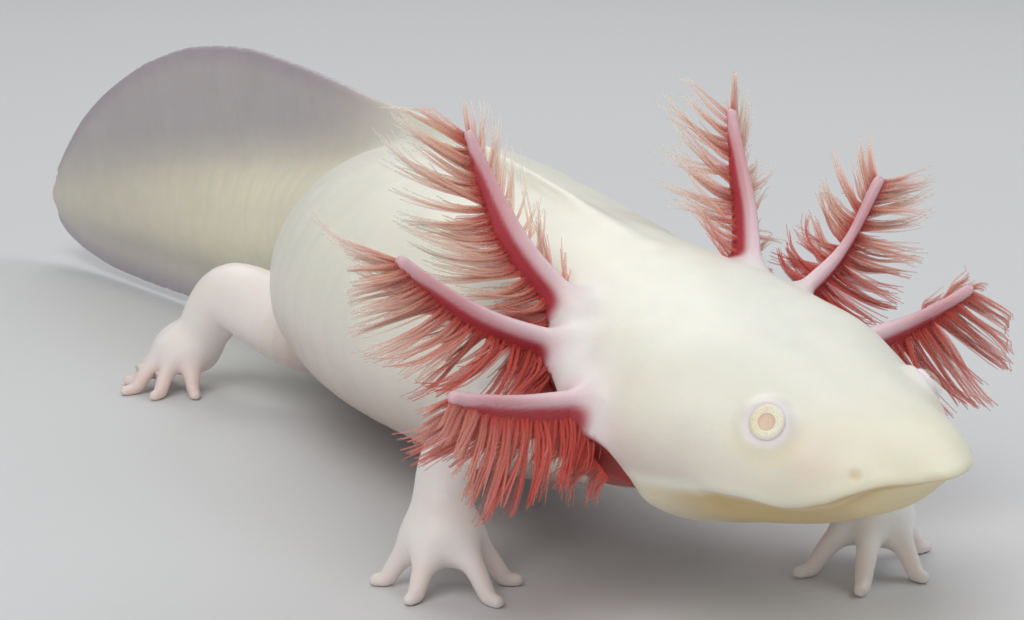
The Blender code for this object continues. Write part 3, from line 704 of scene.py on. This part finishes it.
# how far each point moves out: bells and fades of its place along the spine, its height and its distance to a spot
def reliefOf(points):
    at, side = spineCoordinates(points)
    height = points[:, 2]
    move = np.zeros(len(points))
    # lips: a crease along the line where they meet, a rounded upper lip, and the jaw set a little in below it
    gap = mouthGap(points, at)
    inHead = fade(at, mouth["corner"] + 0.8, mouth["corner"] - 1.2) * (1 - fade(at, 30, 34))
    soft = fade(at, mouth["corner"] + 0.8, mouth["corner"] - 5)
    move -= relief["creaseDepth"] * bell(gap, -0.15, relief["creaseWidth"]) * inHead * soft
    move += relief["lip"] * bell(gap, 0.8, 0.8) * inHead
    move -= relief["jawInset"] * fade(gap, 0.25, -0.45) * fade(gap, -4.5, -1.5) * inHead
    # nostrils
    for sign in (-1, 1):
        reach = np.linalg.norm(points - nostrilAt(sign), axis=1)
        move += relief["nostrilRim"] * bell(reach, 0.95, 0.4) - relief["nostrilDepth"] * bell(reach, 0, 0.45)
    # a hollow between eye and nostril, the muscle behind the eye, and the dip along the skull
    for sign in (-1, 1):
        hollow = np.linalg.norm(points - onSide(relief["hollowAt"], sign), axis=1)
        muscle = np.linalg.norm((points - onSide(relief["muscleAt"], sign)) / (1.5, 1.5, 1), axis=1)
        move += relief["muscle"] * bell(muscle, 0, 4.5) - relief["hollow"] * bell(hollow, 0, 2.8)
    move -= relief["skullDip"] * bell(side, 0, 4.0) * bell(at, 20, 9) * (height > 20)
    # the fold across the throat
    throat = fade(height, 21, 15) * ownBody(at, side, height)
    fold = relief["gularAt"] - relief["gularBend"] * side**2
    move -= relief["gularDepth"] * bell(at, fold, relief["gularWidth"]) * throat
    # the grooves between the ribs
    flank = fade(height, 4, 9) * fade(height, 35.5, 31)
    lean = relief["costalLean"] * (height - 20)
    for i in range(relief["costalCount"]):
        middle = relief["costalFirst"] + relief["costalStep"] * i
        move -= relief["costalDepth"] * bell(at + lean, middle, relief["costalWidth"]) * flank
    # faint blocks of muscle along the tail, bent forward at the spine
    tail = fade(at, 122, 134) * fade(at, 215, 190)
    chevron = at - relief["blockBend"] * np.abs(height - 17)
    wave = np.cos(chevron * 2 * math.pi / relief["blockStep"])
    move -= relief["blockDepth"] * tail * np.maximum(wave, 0) ** 4
    uneven = softNoise(points, 5.0, 3) + 0.5 * softNoise(points, 2.2, 4)
    move += relief["unevenness"] * uneven * fade(height, 0.6, 2.5)
    return move


# the skin's colours, each from 0 to 255; the cheek, lip line, belly and jaw colours also carry painted shade
colours = {
    "cream": (240, 238, 224), "crown": (246, 247, 236), "snout": (240, 235, 208), "cheekShade": (208, 195, 188),
    "jaw": (210, 178, 112), "chin": (244, 232, 192), "lipShadow": (196, 158, 96), "nostril": (224, 204, 172),
    "eyeRing": (242, 228, 232), "blush": (238, 210, 192), "gold": (234, 216, 160),
    "flank": (236, 225, 217), "bellyAndShade": (204, 178, 166), "hand": (248, 245, 243), "toe": (244, 218, 212),
    "tail": (241, 234, 208), "tailEnd": (208, 202, 188), "fin": (188, 182, 183), "finEdge": (170, 162, 172),
    "gillBase": (240, 232, 236), "stalk": (232, 203, 212), "core": (180, 44, 58), "slit": (172, 42, 42),
}


# a colour as shares of light: the screen's curve undone
def linear(colour):
    share = np.asarray(colour, float) / 255
    return np.where(share <= 0.04045, share / 12.92, ((share + 0.055) / 1.055) ** 2.4)


# the skin's colour at each point: washes laid over one another, each by a share from bells and fades of its place
def skinTint(points):
    at, side = spineCoordinates(points)
    height = points[:, 2]
    tint = np.tile(linear(colours["cream"]), (len(points), 1))

    # lays a colour over what is there: tint * (1 - share) + colour * share
    def wash(name, share):
        share = np.clip(share, 0, 1)[:, None]
        tint[:] = tint * (1 - share) + linear(colours[name]) * share

    wash("crown", 0.8 * fade(height, 24, 32) * fade(at, 60, 20))
    wash("snout", 0.75 * fade(at, 12, 0) + 0.35 * bell(at, 10, 6) * fade(height, 23, 18))
    wash("flank", 0.85 * fade(height, 27, 13) * fade(at, 34, 52))
    # the belly's pinker tone, with painted shade darkening the underside
    wash("bellyAndShade", 0.8 * fade(height, 19, 6) * fade(at, 34, 52))
    gap = mouthGap(points, at)
    # the jaw's own yellow tone, darkened with painted shade where the overhanging upper lip keeps the light off
    jaw = ownBody(at, side, height) * fade(gap, 0.2, -1.2) * fade(at, 34, 26)
    wash("jaw", 0.85 * jaw * (0.3 + 0.7 * fade(at, 26, 17)))
    wash("chin", 0.75 * fade(gap, -0.9, -2.6) * fade(at, 13, 1) * (at < 16))
    # painted shade: the lower cheek behind the eye is darkened as though lit from above
    wash("cheekShade", 0.85 * bell(at, 25, 9) * fade(height, 25, 18) * fade(gap, 0.0, 1.5))
    wash("tail", fade(at, 118, 136))
    wash("tailEnd", 0.8 * fade(at, 150, 215))
    _, top, _, under, _ = (along(column, at) for column in bodyTable.T)
    outside = np.maximum(height - top, under - height)
    wash("fin", fade(outside, -4, 7) * fade(at, 95, 145))
    rim = np.minimum(along(upperTable, at) - height, height - along(lowerTable, at))
    wash("finEdge", 0.75 * fade(rim, 3.5, 0.4) * fade(at, 120, 150))
    # painted shadow of the overhanging upper lip: a dark band along the line where the lips meet
    wash("lipShadow", 0.75 * bell(gap, -0.1, 0.45) * fade(at, mouth["corner"] + 0.8, mouth["corner"] - 5))
    for one in eyes:
        reach = np.linalg.norm(points - one["centre"], axis=1)
        low = fade(height - one["centre"][2], 1.0, -2.0)
        blush = np.linalg.norm(points - onSide((-4.6, 10.0, 21.3), one["sign"]), axis=1)
        wash("blush", 0.45 * bell(blush, 0, 3.2))
        wash("gold", 0.28 * bell(reach, 3.7, 0.9) * low)
        wash("eyeRing", 0.55 * fade(reach, 3.4, 2.3))
        wash("nostril", 0.7 * bell(np.linalg.norm(points - nostrilAt(one["sign"]), axis=1), 0, 0.6))
    near = np.nonzero(byGills(at))[0]
    here, level = points[near], points[near, 2]
    for sign, rim in rims.items():
        amount = np.zeros(len(points))
        amount[near] = fade(chainDistance(here, *asChain(rim["rim"]))[0], 5.0, 0.4)
        wash("gillBase", 0.7 * amount * fade(height, 16.5, 21))
        # deep red in the slit and on the neck behind it, where the fringes keep the light off
        slit = rim["slit"][::-1]
        depth = (slit[:, :3] - slit[-1, :3]) @ headBack
        behind = (here - slit[-1, :3]) @ headBack - np.interp(level, slit[:, 2], depth)
        pocket = fade(behind, 11, 7) * fade(behind, -0.8, 0.3) * fade(level, 7, 11) * fade(level, 31.5, 28)
        outward = (here - headPlace(0, 0, 0)) @ headLeft * sign
        inSlit = fade(chainDistance(here, *asChain(rim["slit"]))[0], 0.9, 0.15)
        amount[near] = np.maximum(inSlit, pocket * (outward > 6))
        wash("slit", 0.95 * amount)
    for branch in branches:
        near = inBox(branch, points)
        gap, share = branchDistance(branch, points[near])
        amount = np.zeros(len(points))
        if branch["palm"] is not None:
            amount[near] = fade(gap, 3.5, 0.5) * fade(share, 0.2, 0.5)
            wash("hand", 0.8 * amount)
            tips = np.min([np.linalg.norm(points - finger[-1, :3], axis=1) for finger in branch["fingers"]], axis=0)
            wash("toe", (0.5 if "arm" in branch["name"] else 0.9) * fade(tips, 8, 2) * fade(height, 7, 3))
            if "leg" in branch["name"]:
                wash("toe", 0.2 * amount)
            continue
        amount[near] = fade(gap, 2.6, 0.3) * fade(share, 0.02, 0.3)
        wash("stalk", amount)
        ridge = chainDistance(points[near], branch["ridge"], branch["radii"])[0]
        edge = chainDistance(points[near], branch["edge"], branch["edgeRadii"])[0]
        width = np.interp(share, np.linspace(0, 1, len(branch["width"])), branch["width"])
        # red along the blade's edge, and pinker all round towards the stalk's tip
        red = fade(edge, 0.85 * width, 0.3 * width) * fade((edge - ridge) / width, 0.95, 0.1) * fade(share, 0.0, 0.1)
        red = np.maximum(red, 0.4 * fade(share, 0.25, 0.75) * fade(gap, 1.2, 0.3))
        amount[near] = red * (1 - 0.4 * fade(share, 0.8, 1.0))
        wash("core", 0.95 * amount)
    mottle = 1 + 0.025 * softNoise(points, 6.0, 7) + 0.02 * softNoise(points, 2.0, 8)
    return np.clip(tint * mottle[:, None], 0, 1)


# keeps a colour for each point in the mesh
def addTint(mesh, tint):
    layer = mesh.color_attributes.new("tint", "FLOAT_COLOR", "POINT")
    layer.data.foreach_set("color", np.column_stack([tint, np.ones(len(tint))]).astype(np.float32).ravel())


# a material whose shader has these values on its own sockets
def newMaterial(name, **settings):
    made = bpy.data.materials.new(name)
    made.use_nodes = True
    tree = made.node_tree
    shader = tree.nodes["Principled BSDF"]
    for socket, value in settings.items():
        shader.inputs[socket.replace("_", " ")].default_value = value
    return made, tree, shader


# a node with these values on its sockets or settings
def addNode(tree, kind, **settings):
    node = tree.nodes.new(kind)
    for name, value in settings.items():
        if name in node.inputs:
            node.inputs[name].default_value = value
        else:
            setattr(node, name, value)
    return node


# colour from the tint, varied by two sizes of noise; fine bumps, and gloss that varies slowly
def tintedMaterial(name, blotch, blotchSize, bumpSize, bumpHeight, roughness, **settings):
    made, tree, shader = newMaterial(name, **settings)
    link = tree.links.new
    where = addNode(tree, "ShaderNodeTexCoord")
    tint = addNode(tree, "ShaderNodeVertexColor", layer_name="tint")
    broad = addNode(tree, "ShaderNodeTexNoise", Scale=1 / blotchSize, Detail=4.0)
    link(where.outputs["Object"], broad.inputs["Vector"])
    shift = addNode(tree, "ShaderNodeHueSaturation")
    value = addNode(tree, "ShaderNodeMapRange")
    value.inputs["To Min"].default_value, value.inputs["To Max"].default_value = 1 - blotch, 1 + blotch
    link(broad.outputs["Fac"], value.inputs["Value"])
    link(value.outputs["Result"], shift.inputs["Value"])
    link(tint.outputs["Color"], shift.inputs["Color"])
    link(shift.outputs["Color"], shader.inputs["Base Color"])
    gloss = addNode(tree, "ShaderNodeMapRange")
    gloss.inputs["To Min"].default_value, gloss.inputs["To Max"].default_value = roughness
    link(broad.outputs["Fac"], gloss.inputs["Value"])
    link(gloss.outputs["Result"], shader.inputs["Roughness"])
    fine = addNode(tree, "ShaderNodeTexNoise", Scale=1 / bumpSize, Detail=3.0)
    link(where.outputs["Object"], fine.inputs["Vector"])
    bump = addNode(tree, "ShaderNodeBump", Strength=0.5, Distance=bumpHeight)
    link(fine.outputs["Fac"], bump.inputs["Height"])
    link(bump.outputs["Normal"], shader.inputs["Normal"])
    return made


skinMaterial = tintedMaterial("moistSkin", 0.03, 0.006, 0.0006, 0.00006, (0.36, 0.5),
                              Subsurface_Weight=0.5, Subsurface_Radius=(1.0, 0.6, 0.4), Subsurface_Scale=0.0025,
                              IOR=1.4, Coat_Weight=0.22, Coat_Roughness=0.2, Coat_IOR=1.35)


# the flesh: an even shell round rough tubes, drawn on to the smooth shape, split where detail is, then its folds
def makeSkin():
    mesh = evenShell(roughShapes(), skin["voxel"])
    print("skin: even shell", len(mesh.vertices))
    fitToFlesh(mesh, 8, 0.6)
    refine(mesh, wantsDetail)
    fitToFlesh(mesh, 3, 0.5)
    refine(mesh, wantsFineDetail)
    fitToFlesh(mesh, 3, 0.4, 0.3)
    print("skin: fitted", len(mesh.vertices), "points,", len(mesh.polygons), "faces")
    points, normals = readPoints(mesh), readNormals(mesh)
    tint = skinTint(points)
    own = ownBody(*spineCoordinates(points), points[:, 2])
    points = points + normals * reliefOf(points)[:, None]
    # the lower jaw stops short of the snout
    at, _ = spineCoordinates(points)
    back = body["jawSetback"] * fade(mouthGap(points, at), 0.3, -0.5) * fade(at, 7.5, 1.5)
    points = points + back[:, None] * headBack
    # its chin rises to the front, and the throat sags a little at the corners of the mouth
    below = own * fade(mouthGap(points, at), -0.2, -2.2)
    points[:, 2] += below * (body["chinLift"] * fade(at, 13, 1.5) - body["throatSag"] * bell(at, 25, 4.5))
    points = insideBox(points, 0.02)
    points[:, 2] = np.maximum(points[:, 2] - 0.02 * (points[:, 2] < 0.03), 0)
    writePoints(mesh, points)
    mesh.shade_smooth()
    addTint(mesh, tint)
    mesh.materials.clear()
    mesh.materials.append(skinMaterial)
    mesh.name = "skin"
    piece = newPiece("skin", mesh)
    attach(piece, "root")
    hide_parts(*skin["flesh"])


makeSkin()

filaments = {
    # long ones in two rows down each blade's red edge, short ones between them, and some out of the slit
    "perRow": 170, "shortPerRow": 90, "fromSlit": 90, "rings": 9, "sides": 5,
    # neighbours move together in clumps, whose tips are drawn together by this much; all sway a little
    "clumps": 26, "gather": 0.45, "sway": 0.03,
    # their lengths along a stalk, and on the right side's two lower gills
    "lengths": {
        "any": ((0, 2.6), (0.15, 5.0), (0.4, 8.6), (0.75, 8.8), (1.0, 6.4)),
        "gill_right_middle": ((0, 3.0), (0.15, 5.5), (0.4, 8.2), (0.75, 8.8), (1.0, 6.4)),
        "gill_right_bottom": ((0, 3.8), (0.3, 6.0), (0.55, 8.0), (0.8, 5.2), (1.0, 2.4)),
    },
    "shortLength": (0.28, 0.62), "shortSpread": 0.7,        # shares of a long one's
    # how far they lean to the stalk's tip at its end
    "rise": {"any": 1.05, "gill_right_bottom": 0.4},
    # the shares of a stalk between which its filaments turn pale, and how pale they are
    "paling": {"top": (0.0, 0.35, 1.0), "middle": (0.3, 0.75, 0.9), "bottom": (0.2, 0.9, 0.45)},
    # how far the two rows turn from the blade, in degrees, and how much the filaments curl up
    "spread": {"top": 74.0, "middle": 58.0, "bottom": 46.0},
    "lift": {"top": 0.12, "middle": 0.0, "bottom": -0.2},
    "droop": 0.1, "curl": 0.5, "rootRadius": 0.22, "tipRadius": 0.06,
    # the upper gills' row that faces the animal's middle keeps this share, beyond this share of the stalk
    "innerKept": 0.5, "innerFrom": 0.12,
    # out of the slit: the shares of it that they leave from, how steeply they fall, and their length
    "slit": {"top": (0.05, 0.28, 0.1, 3.2), "middle": (0.28, 0.46, 0.3, 2.4), "bottom": (0.5, 0.7, 1.1, 5.0)},
    "slitPale": 0.25,
    "root": (230, 86, 76), "middle": (255, 212, 180), "tip": (255, 248, 238), "pink": (255, 192, 182),
    "patch": 0.003, "patchColumns": 40,     # each filament's place on the map for baking
}

filamentMaterial = tintedMaterial("gillFringe", 0.06, 0.002, 0.0004, 0.00003, (0.42, 0.55),
                                  IOR=1.38, Coat_Weight=0.05, Coat_Roughness=0.3, Alpha=0.36, Sheen_Weight=0.2,
                                  Sheen_Roughness=0.5, Sheen_Tint=(1.0, 0.86, 0.8, 1))


# three numbers for every clump, handed to the filaments that belong to it, so that neighbours move together
def clumped(random, clump):
    return random.normal(0, 1.0, (filaments["clumps"] + 1, 3))[clump]


# columns of values at shares of their own length, by straight steps between rows
def spreadOver(values, steps, share):
    return np.stack([np.interp(share, steps, column) for column in values.T], 1)


# the courses of a stalk's filaments: each leaves the blade's edge in one of two rows: its way is cos and sin of the
# row's turn, on the lines back from and beside the stalk, plus a rise towards the stalk's tip
def filamentCourses(branch, seed):
    random = np.random.default_rng(seed)
    part = branch["level"]
    longCount, shortCount = filaments["perRow"] * 2, filaments["shortPerRow"] * 2
    count = longCount + shortCount
    isShort = np.arange(count) >= longCount
    row = np.where(np.arange(count) % 2 == 0, -1.0, 1.0)
    share = np.concatenate([np.linspace(0.05, 1.0, longCount), np.linspace(0.04, 0.97, shortCount)])
    share = np.clip(share + random.normal(0, 0.006, count), 0.03, 1.0)
    clump = (share * filaments["clumps"]).astype(int)
    clump = np.where(row > 0, clump, filaments["clumps"] - clump)
    steps = np.linspace(0, 1, len(branch["path"]))
    start, ahead, back = (spreadOver(branch[key], steps, share) for key in ("edge", "run", "back"))
    ahead, back = unit(ahead), unit(back)
    radius = np.interp(share, steps, branch["edgeRadii"])
    beside = np.cross(ahead, back)
    together, own = clumped(random, clump), random.normal(0, 1, (count, 3))
    swing = np.radians(filaments["spread"][part]) * (1.12 - 0.35 * share) * row
    swing = swing * np.where(isShort, filaments["shortSpread"], 1.0)
    swing = swing + 0.13 * together[:, 0] + 0.06 * own[:, 0]
    rises = filaments["rise"].get(branch["name"], filaments["rise"]["any"])
    rise = 0.1 + rises * share**3 + 0.1 * together[:, 1] + 0.04 * own[:, 1]
    way = unit(np.cos(swing)[:, None] * back + np.sin(swing)[:, None] * beside + rise[:, None] * ahead)
    lengths = filaments["lengths"].get(branch["name"], filaments["lengths"]["any"])
    length = smoothTable(lengths, share)[:, 0] * (0.97 + 0.09 * together[:, 2] + 0.05 * own[:, 2])
    length = np.where(isShort, length * random.uniform(*filaments["shortLength"], count), length)
    bend = filaments["curl"] * (1 + 0.35 * together[:, 0]) * (1 - 0.6 * share**2)
    curl = bend[:, None] * ahead + 0.05 * own + 0.1 * together
    curl[:, 2] += filaments["lift"][part] - filaments["droop"]
    start = start + 0.75 * radius[:, None] * row[:, None] * beside
    start = start + (random.uniform(-0.9, 0.4, count) * radius)[:, None] * back
    # the tips of a clump are drawn together
    group = clump + (filaments["clumps"] + 1) * ((row > 0) + 2 * isShort)
    members = np.maximum(np.bincount(group), 1)[:, None]
    for values, scale in ((start, length[:, None]), (way, 1.0)):
        middle = np.stack([np.bincount(group, column) for column in values.T], 1) / members
        curl = curl + filaments["gather"] * (middle[group] - values) / scale
    # the row turned to the animal's middle is sparse on the upper gills
    inner = (row[:, None] * beside) @ headLeft * branch["sign"] < 0
    sparse = (random.random(count) < filaments["innerKept"]) & (share > filaments["innerFrom"])
    kept = ~(inner & (part == "top")) | sparse
    red, white, most = filaments["paling"][part]
    pale = np.where(isShort, 0.8, 1.0) * (0.1 + 0.9 * fade(share, red, white)) * most
    sway = filaments["sway"] * together * length[:, None]
    return [values[kept] for values in (start, way, curl, length, sway, pale)]


# the courses of filaments out of the slit below a root: they leave it back and down along the neck
def slitCourses(branch, seed):
    random = np.random.default_rng(seed)
    low, high, sink, longest = filaments["slit"][branch["level"]]
    count = filaments["fromSlit"]
    rows = rims[branch["sign"]]["slit"]
    share = np.linspace(low, high, count) * (len(rows) - 1)
    start = spreadOver(rows[:, :3], np.arange(len(rows)), share)
    outward = headLeft * branch["sign"]
    own = random.normal(0, 1, (count, 3))
    clump = (np.linspace(0, 1, count) * filaments["clumps"] / 2).astype(int)
    together = clumped(random, clump)
    way = unit(headBack + 0.55 * outward - sink * straightUp + 0.12 * own + 0.12 * together)
    length = random.uniform(0.55, 1.0, count) * longest
    curl = np.tile(-0.12 * outward, (count, 1)) + 0.12 * together
    curl[:, 2] -= 0.15
    sway = filaments["sway"] * together
    return start - 0.6 * outward, way, curl, length, sway, np.full(count, filaments["slitPale"])


# tubes along start + way * length * t + curl * length * t^2 + sway * sin(5 t), thinning to the tip
def filamentRings(start, way, curl, length, sway, seed):
    random = np.random.default_rng(seed)
    t = np.linspace(0, 1, filaments["rings"])[None, :, None]
    points = start[:, None] + (way * length[:, None])[:, None] * t + (curl * length[:, None])[:, None] * t**2
    points = points + sway[:, None] * np.sin(5 * t)
    points = insideBox(points, 0.35)
    runs = unit(np.gradient(points, axis=1))
    across = unit(np.cross(runs, (0.31, 0.17, 0.93)))
    other = np.cross(across, runs)
    thin = filaments["rootRadius"] + (filaments["tipRadius"] - filaments["rootRadius"]) * t[0, :, 0] ** 1.2
    thin = thin[None] * random.uniform(0.75, 1.2, len(points))[:, None]
    angle = np.linspace(0, 2 * math.pi, filaments["sides"], endpoint=False)[None, None, :, None]
    circle = np.cos(angle) * across[:, :, None] + np.sin(angle) * other[:, :, None]
    return points[:, :, None] + thin[..., None, None] * circle


# the faces of many tubes at once: one tube's, counted on for each, and a face on either end
def closedTubes(rings):
    count, length, sides = rings.shape[:3]
    one = np.array(loftFaces(length, sides)[:-2])
    quads = (one[None] + (np.arange(count) * length * sides)[:, None, None]).reshape(-1, 4)
    starts = (np.arange(count) * length * sides)[:, None]
    near = starts + np.arange(sides)[::-1]
    far = starts + (length - 1) * sides + np.arange(sides)
    return [tuple(face) for faces in (quads, near, far) for face in faces.tolist()]


# one gill's fringe, whose tint runs from root to middle over the first third of a filament, and on to the tip's
def makeGill(branch, seed):
    parts = [filamentCourses(branch, seed), slitCourses(branch, seed + 50)]
    *courses, pale = (np.concatenate(values) for values in zip(*parts))
    rings = filamentRings(*courses, seed + 100)
    count, steps, sides = rings.shape[:3]
    mesh = newMesh(branch["name"] + "_fringe", rings, closedTubes(rings))
    t = np.linspace(0, 1, steps)[None, :, None]
    random = np.random.default_rng(seed + 200)
    pink = random.uniform(0, 0.9, count)[:, None, None]
    root, middle, tip, pinker = (linear(filaments[name]) for name in ("root", "middle", "tip", "pink"))
    middle = middle + (pinker - middle) * pink
    tint = root + (middle - root) * fade(t, 0.0, 0.36) * pale[:, None, None]
    tint = tint + (tip - tint) * fade(t, 0.4, 1.0) * pale[:, None, None] ** 2
    addTint(mesh, np.repeat(tint[:, :, None], sides, axis=2).reshape(-1, 3))
    layer = mesh.uv_layers.new(name="OFBake")
    loops = np.empty(len(mesh.loops), np.int32)
    mesh.loops.foreach_get("vertex_index", loops)
    which, ring, side = np.unravel_index(loops, (count, steps, sides))
    # each filament's patch, in the order in which they stand along the stalk
    patch, columns = filaments["patch"], filaments["patchColumns"]
    u = 0.02 + (which % columns) / columns * 0.96 + patch * (side / sides)
    v = 0.02 + (which // columns) / (count // columns + 1) * 0.96 + patch * (ring / (steps - 1))
    layer.data.foreach_set("uv", np.column_stack([u, v]).astype(np.float32).ravel())
    mesh.shade_smooth()
    mesh.materials.append(filamentMaterial)
    piece = newPiece(branch["name"] + "_fringe", mesh)
    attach(piece, "root")
    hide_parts(branch["name"])


for seed, branch in enumerate(b for b in branches if b["palm"] is None):
    makeGill(branch, seed + 11)
print("gills made")

eyeball = {
    # from front to back: how far ahead of the eye's middle along its axis, and how far out from it
    "profile": ((1.14, 0.0), (1.15, 0.35), (1.19, 0.62), (1.27, 0.79), (1.32, 0.93), (1.34, 1.15), (1.33, 1.4),
                (1.3, 1.6), (1.22, 1.76), (0.82, 1.96), (0.0, 2.1), (-0.8, 1.9), (-1.6, 1.3), (-1.96, 0.6),
                (-2.06, 0.0)),
    "pupil": (238, 210, 184), "iris": (255, 250, 230), "yellow": (250, 234, 196), "line": (190, 162, 120),
    # edge and white are lightened in part as painted light, against the shade in the gap where the eyeball meets the
    # skin
    "edge": (252, 240, 226), "white": (246, 234, 238), "grain": 0.12,
    "mirrors": 0.45, "mirrorIor": 1.2,      # the clear skin's gloss, and how steeply it grows with the slant
}
eyeMaterial = tintedMaterial("goldIris", 0.06, 0.0005, 0.0002, 0.00003, (0.4, 0.55), Subsurface_Weight=0.2,
                             Subsurface_Radius=(1.0, 0.5, 0.3), Subsurface_Scale=0.001)
# a thin clear skin: it only mirrors, and only as much as its slant to the eye that looks makes it
corneaMaterial, corneaTree, corneaShader = newMaterial("clearCornea", Base_Color=(1, 1, 1, 1), Metallic=1.0,
                                                       Roughness=0.02)
corneaSlant = addNode(corneaTree, "ShaderNodeFresnel", IOR=eyeball["mirrorIor"])
corneaShare = addNode(corneaTree, "ShaderNodeMath", operation="MULTIPLY")
corneaShare.inputs[1].default_value = eyeball["mirrors"]
corneaTree.links.new(corneaSlant.outputs["Fac"], corneaShare.inputs[0])
corneaTree.links.new(corneaShare.outputs["Value"], corneaShader.inputs["Alpha"])


# a profile turned about the eye's axis; each end of the profile is a pole
def turned(name, centre, axis, profile, sides):
    axis = unit(np.asarray(axis, float))
    across = unit(np.cross(axis, (0, 0, 1.0)))
    other = np.cross(axis, across)
    profile = np.asarray(profile, float)
    angle = np.linspace(0, 2 * math.pi, sides, endpoint=False)[None, :, None]
    inner = profile[1:-1]
    circle = np.cos(angle) * across + np.sin(angle) * other
    rings = centre + inner[:, None, :1] * axis + inner[:, None, 1:2] * circle
    vertices = np.vstack([rings.reshape(-1, 3), centre + profile[0, 0] * axis, centre + profile[-1, 0] * axis])
    count = len(inner)
    faces = loftFaces(count, sides)[:-2]
    k = np.arange(sides)
    first, last = count * sides, count * sides + 1
    near = np.stack([np.full(sides, first), (k + 1) % sides, k], 1)
    far = np.stack([np.full(sides, last), (count - 1) * sides + k, (count - 1) * sides + (k + 1) % sides], 1)
    mesh = newMesh(name, vertices, faces + [tuple(face) for face in (*near.tolist(), *far.tolist())])
    faceOutwards(mesh)
    mesh.shade_smooth()
    return mesh


# an eyeball whose tint goes by the distance out from its axis, under a clear half ball
def makeEye(one):
    profile = curveThrough(eyeball["profile"], 99)
    mesh = turned("eyeball_" + one["name"], one["centre"], one["axis"], profile, 96)
    points = readPoints(mesh) - one["centre"]
    ahead = points @ one["axis"]
    offset = points - ahead[:, None] * one["axis"]
    out = np.linalg.norm(offset, axis=1)
    ways = unit(offset)
    grain = softNoise(points, eyeball["grain"], 21) + 0.6 * softNoise(points, eyeball["grain"] / 2, 22)
    golden = fade(ways @ headBack, -0.5, 0.9) * 0.5 + 0.35 * np.clip(softNoise(ways * 2, 1.0, 23), 0, 1)
    tint = np.tile(linear(eyeball["pupil"]), (len(points), 1))
    for name, share in (
        ("iris", fade(out, 0.8, 0.92)),
        ("yellow", golden * fade(out, 0.88, 1.0)),
        ("edge", 0.5 * fade(out, 1.45, 1.62)),
        ("line", 0.5 * bell(out, 0.86, 0.05)),
        ("line", 0.3 * np.clip(grain + 0.2, 0, 1) * fade(out, 0.9, 1.05) * fade(out, 1.75, 1.5)),
        ("white", fade(out, 1.68, 1.8) * (ahead > 0)),
    ):
        tint = tint + (linear(eyeball[name]) - tint) * np.asarray(share, float)[:, None]
    addTint(mesh, tint)
    mesh.materials.append(eyeMaterial)
    ball = newPiece("eyeball_" + one["name"], mesh)
    angle = np.linspace(0, math.pi, 41)
    dome = np.stack([eye["radius"] * np.cos(angle), eye["radius"] * np.sin(angle)], 1)
    clear = turned("cornea_" + one["name"], one["centre"], one["axis"], dome, 64)
    clear.materials.append(corneaMaterial)
    cornea = newPiece("cornea_" + one["name"], clear)
    for piece in (ball, cornea):
        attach(piece, "root")
        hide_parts("eye_" + one["name"])


for one in eyes:
    makeEye(one)
print("eyes made")

studio = {
    "cameraAt": (-0.11894, -0.31938, 0.0919), "looksAlong": (0.3746, 0.9272), "pitch": 13.1,
    "lens": 91.25, "sensor": 36, "clipStart": 0.01,
    "floor": (0.66, 0.67, 0.68), "floorHalf": 3000.0, "floorLevel": -0.02,      # the last two in millimetres
    "world": (0.9, 0.95, 1.0), "worldStrength": 0.28, "lightsAim": (0, -0.03, 0.02),
    # where, size, power, colour
    "lights": (
        ((-0.35, -0.45, 0.75), 0.6, 3.8, (1.0, 0.985, 0.95)),
        ((-0.5, -0.45, 0.16), 0.4, 0.4, (1.0, 0.98, 0.96)),
        ((0.55, -0.1, 0.6), 0.5, 1.6, (0.95, 0.97, 1.0)),
        ((0.1, 0.55, 0.7), 0.6, 2.2, (1.0, 0.97, 0.94)),
    ),
}


# a pale floor, an even sky, square lamps turned to one spot, and the camera
def makeStage():
    half, level = studio["floorHalf"], studio["floorLevel"]
    corners = [(x * half, y * half, level) for x, y in ((-1, -1), (1, -1), (1, 1), (-1, 1))]
    floorMesh = newMesh("floor", corners, [(0, 1, 2, 3)])
    floorMaterial, _, _ = newMaterial("paleFloor", Base_Color=(*studio["floor"], 1), Roughness=0.7)
    floorMesh.materials.append(floorMaterial)
    newPiece("floor", floorMesh)
    world = bpy.data.worlds.new("softStudio")
    world.use_nodes = True
    world.node_tree.nodes["Background"].inputs["Color"].default_value = (*studio["world"], 1)
    world.node_tree.nodes["Background"].inputs["Strength"].default_value = studio["worldStrength"]
    bpy.context.scene.world = world
    for i, (where, side, power, colour) in enumerate(studio["lights"]):
        data = bpy.data.lights.new(f"softbox{i}", "AREA")
        data.shape, data.size, data.energy, data.color = "SQUARE", side, power, colour
        lamp = bpy.data.objects.new(f"softbox{i}", data)
        bpy.context.collection.objects.link(lamp)
        lamp.location = where
        aim = np.array(studio["lightsAim"]) - where
        flat = math.hypot(aim[0], aim[1])
        lamp.rotation_euler = (math.atan2(flat, -aim[2]), 0, math.atan2(-aim[0], aim[1]))
    data = bpy.data.cameras.new("camera")
    data.lens, data.sensor_width, data.clip_start = studio["lens"], studio["sensor"], studio["clipStart"]
    camera = bpy.data.objects.new("camera", data)
    bpy.context.collection.objects.link(camera)
    camera.location = studio["cameraAt"]
    x, y = studio["looksAlong"]
    camera.rotation_euler = (math.radians(90 - studio["pitch"]), 0, math.atan2(-x, y))
    bpy.context.scene.camera = camera
    bpy.context.scene.view_settings.view_transform = "Standard"
    print("stage made")


makeStage()
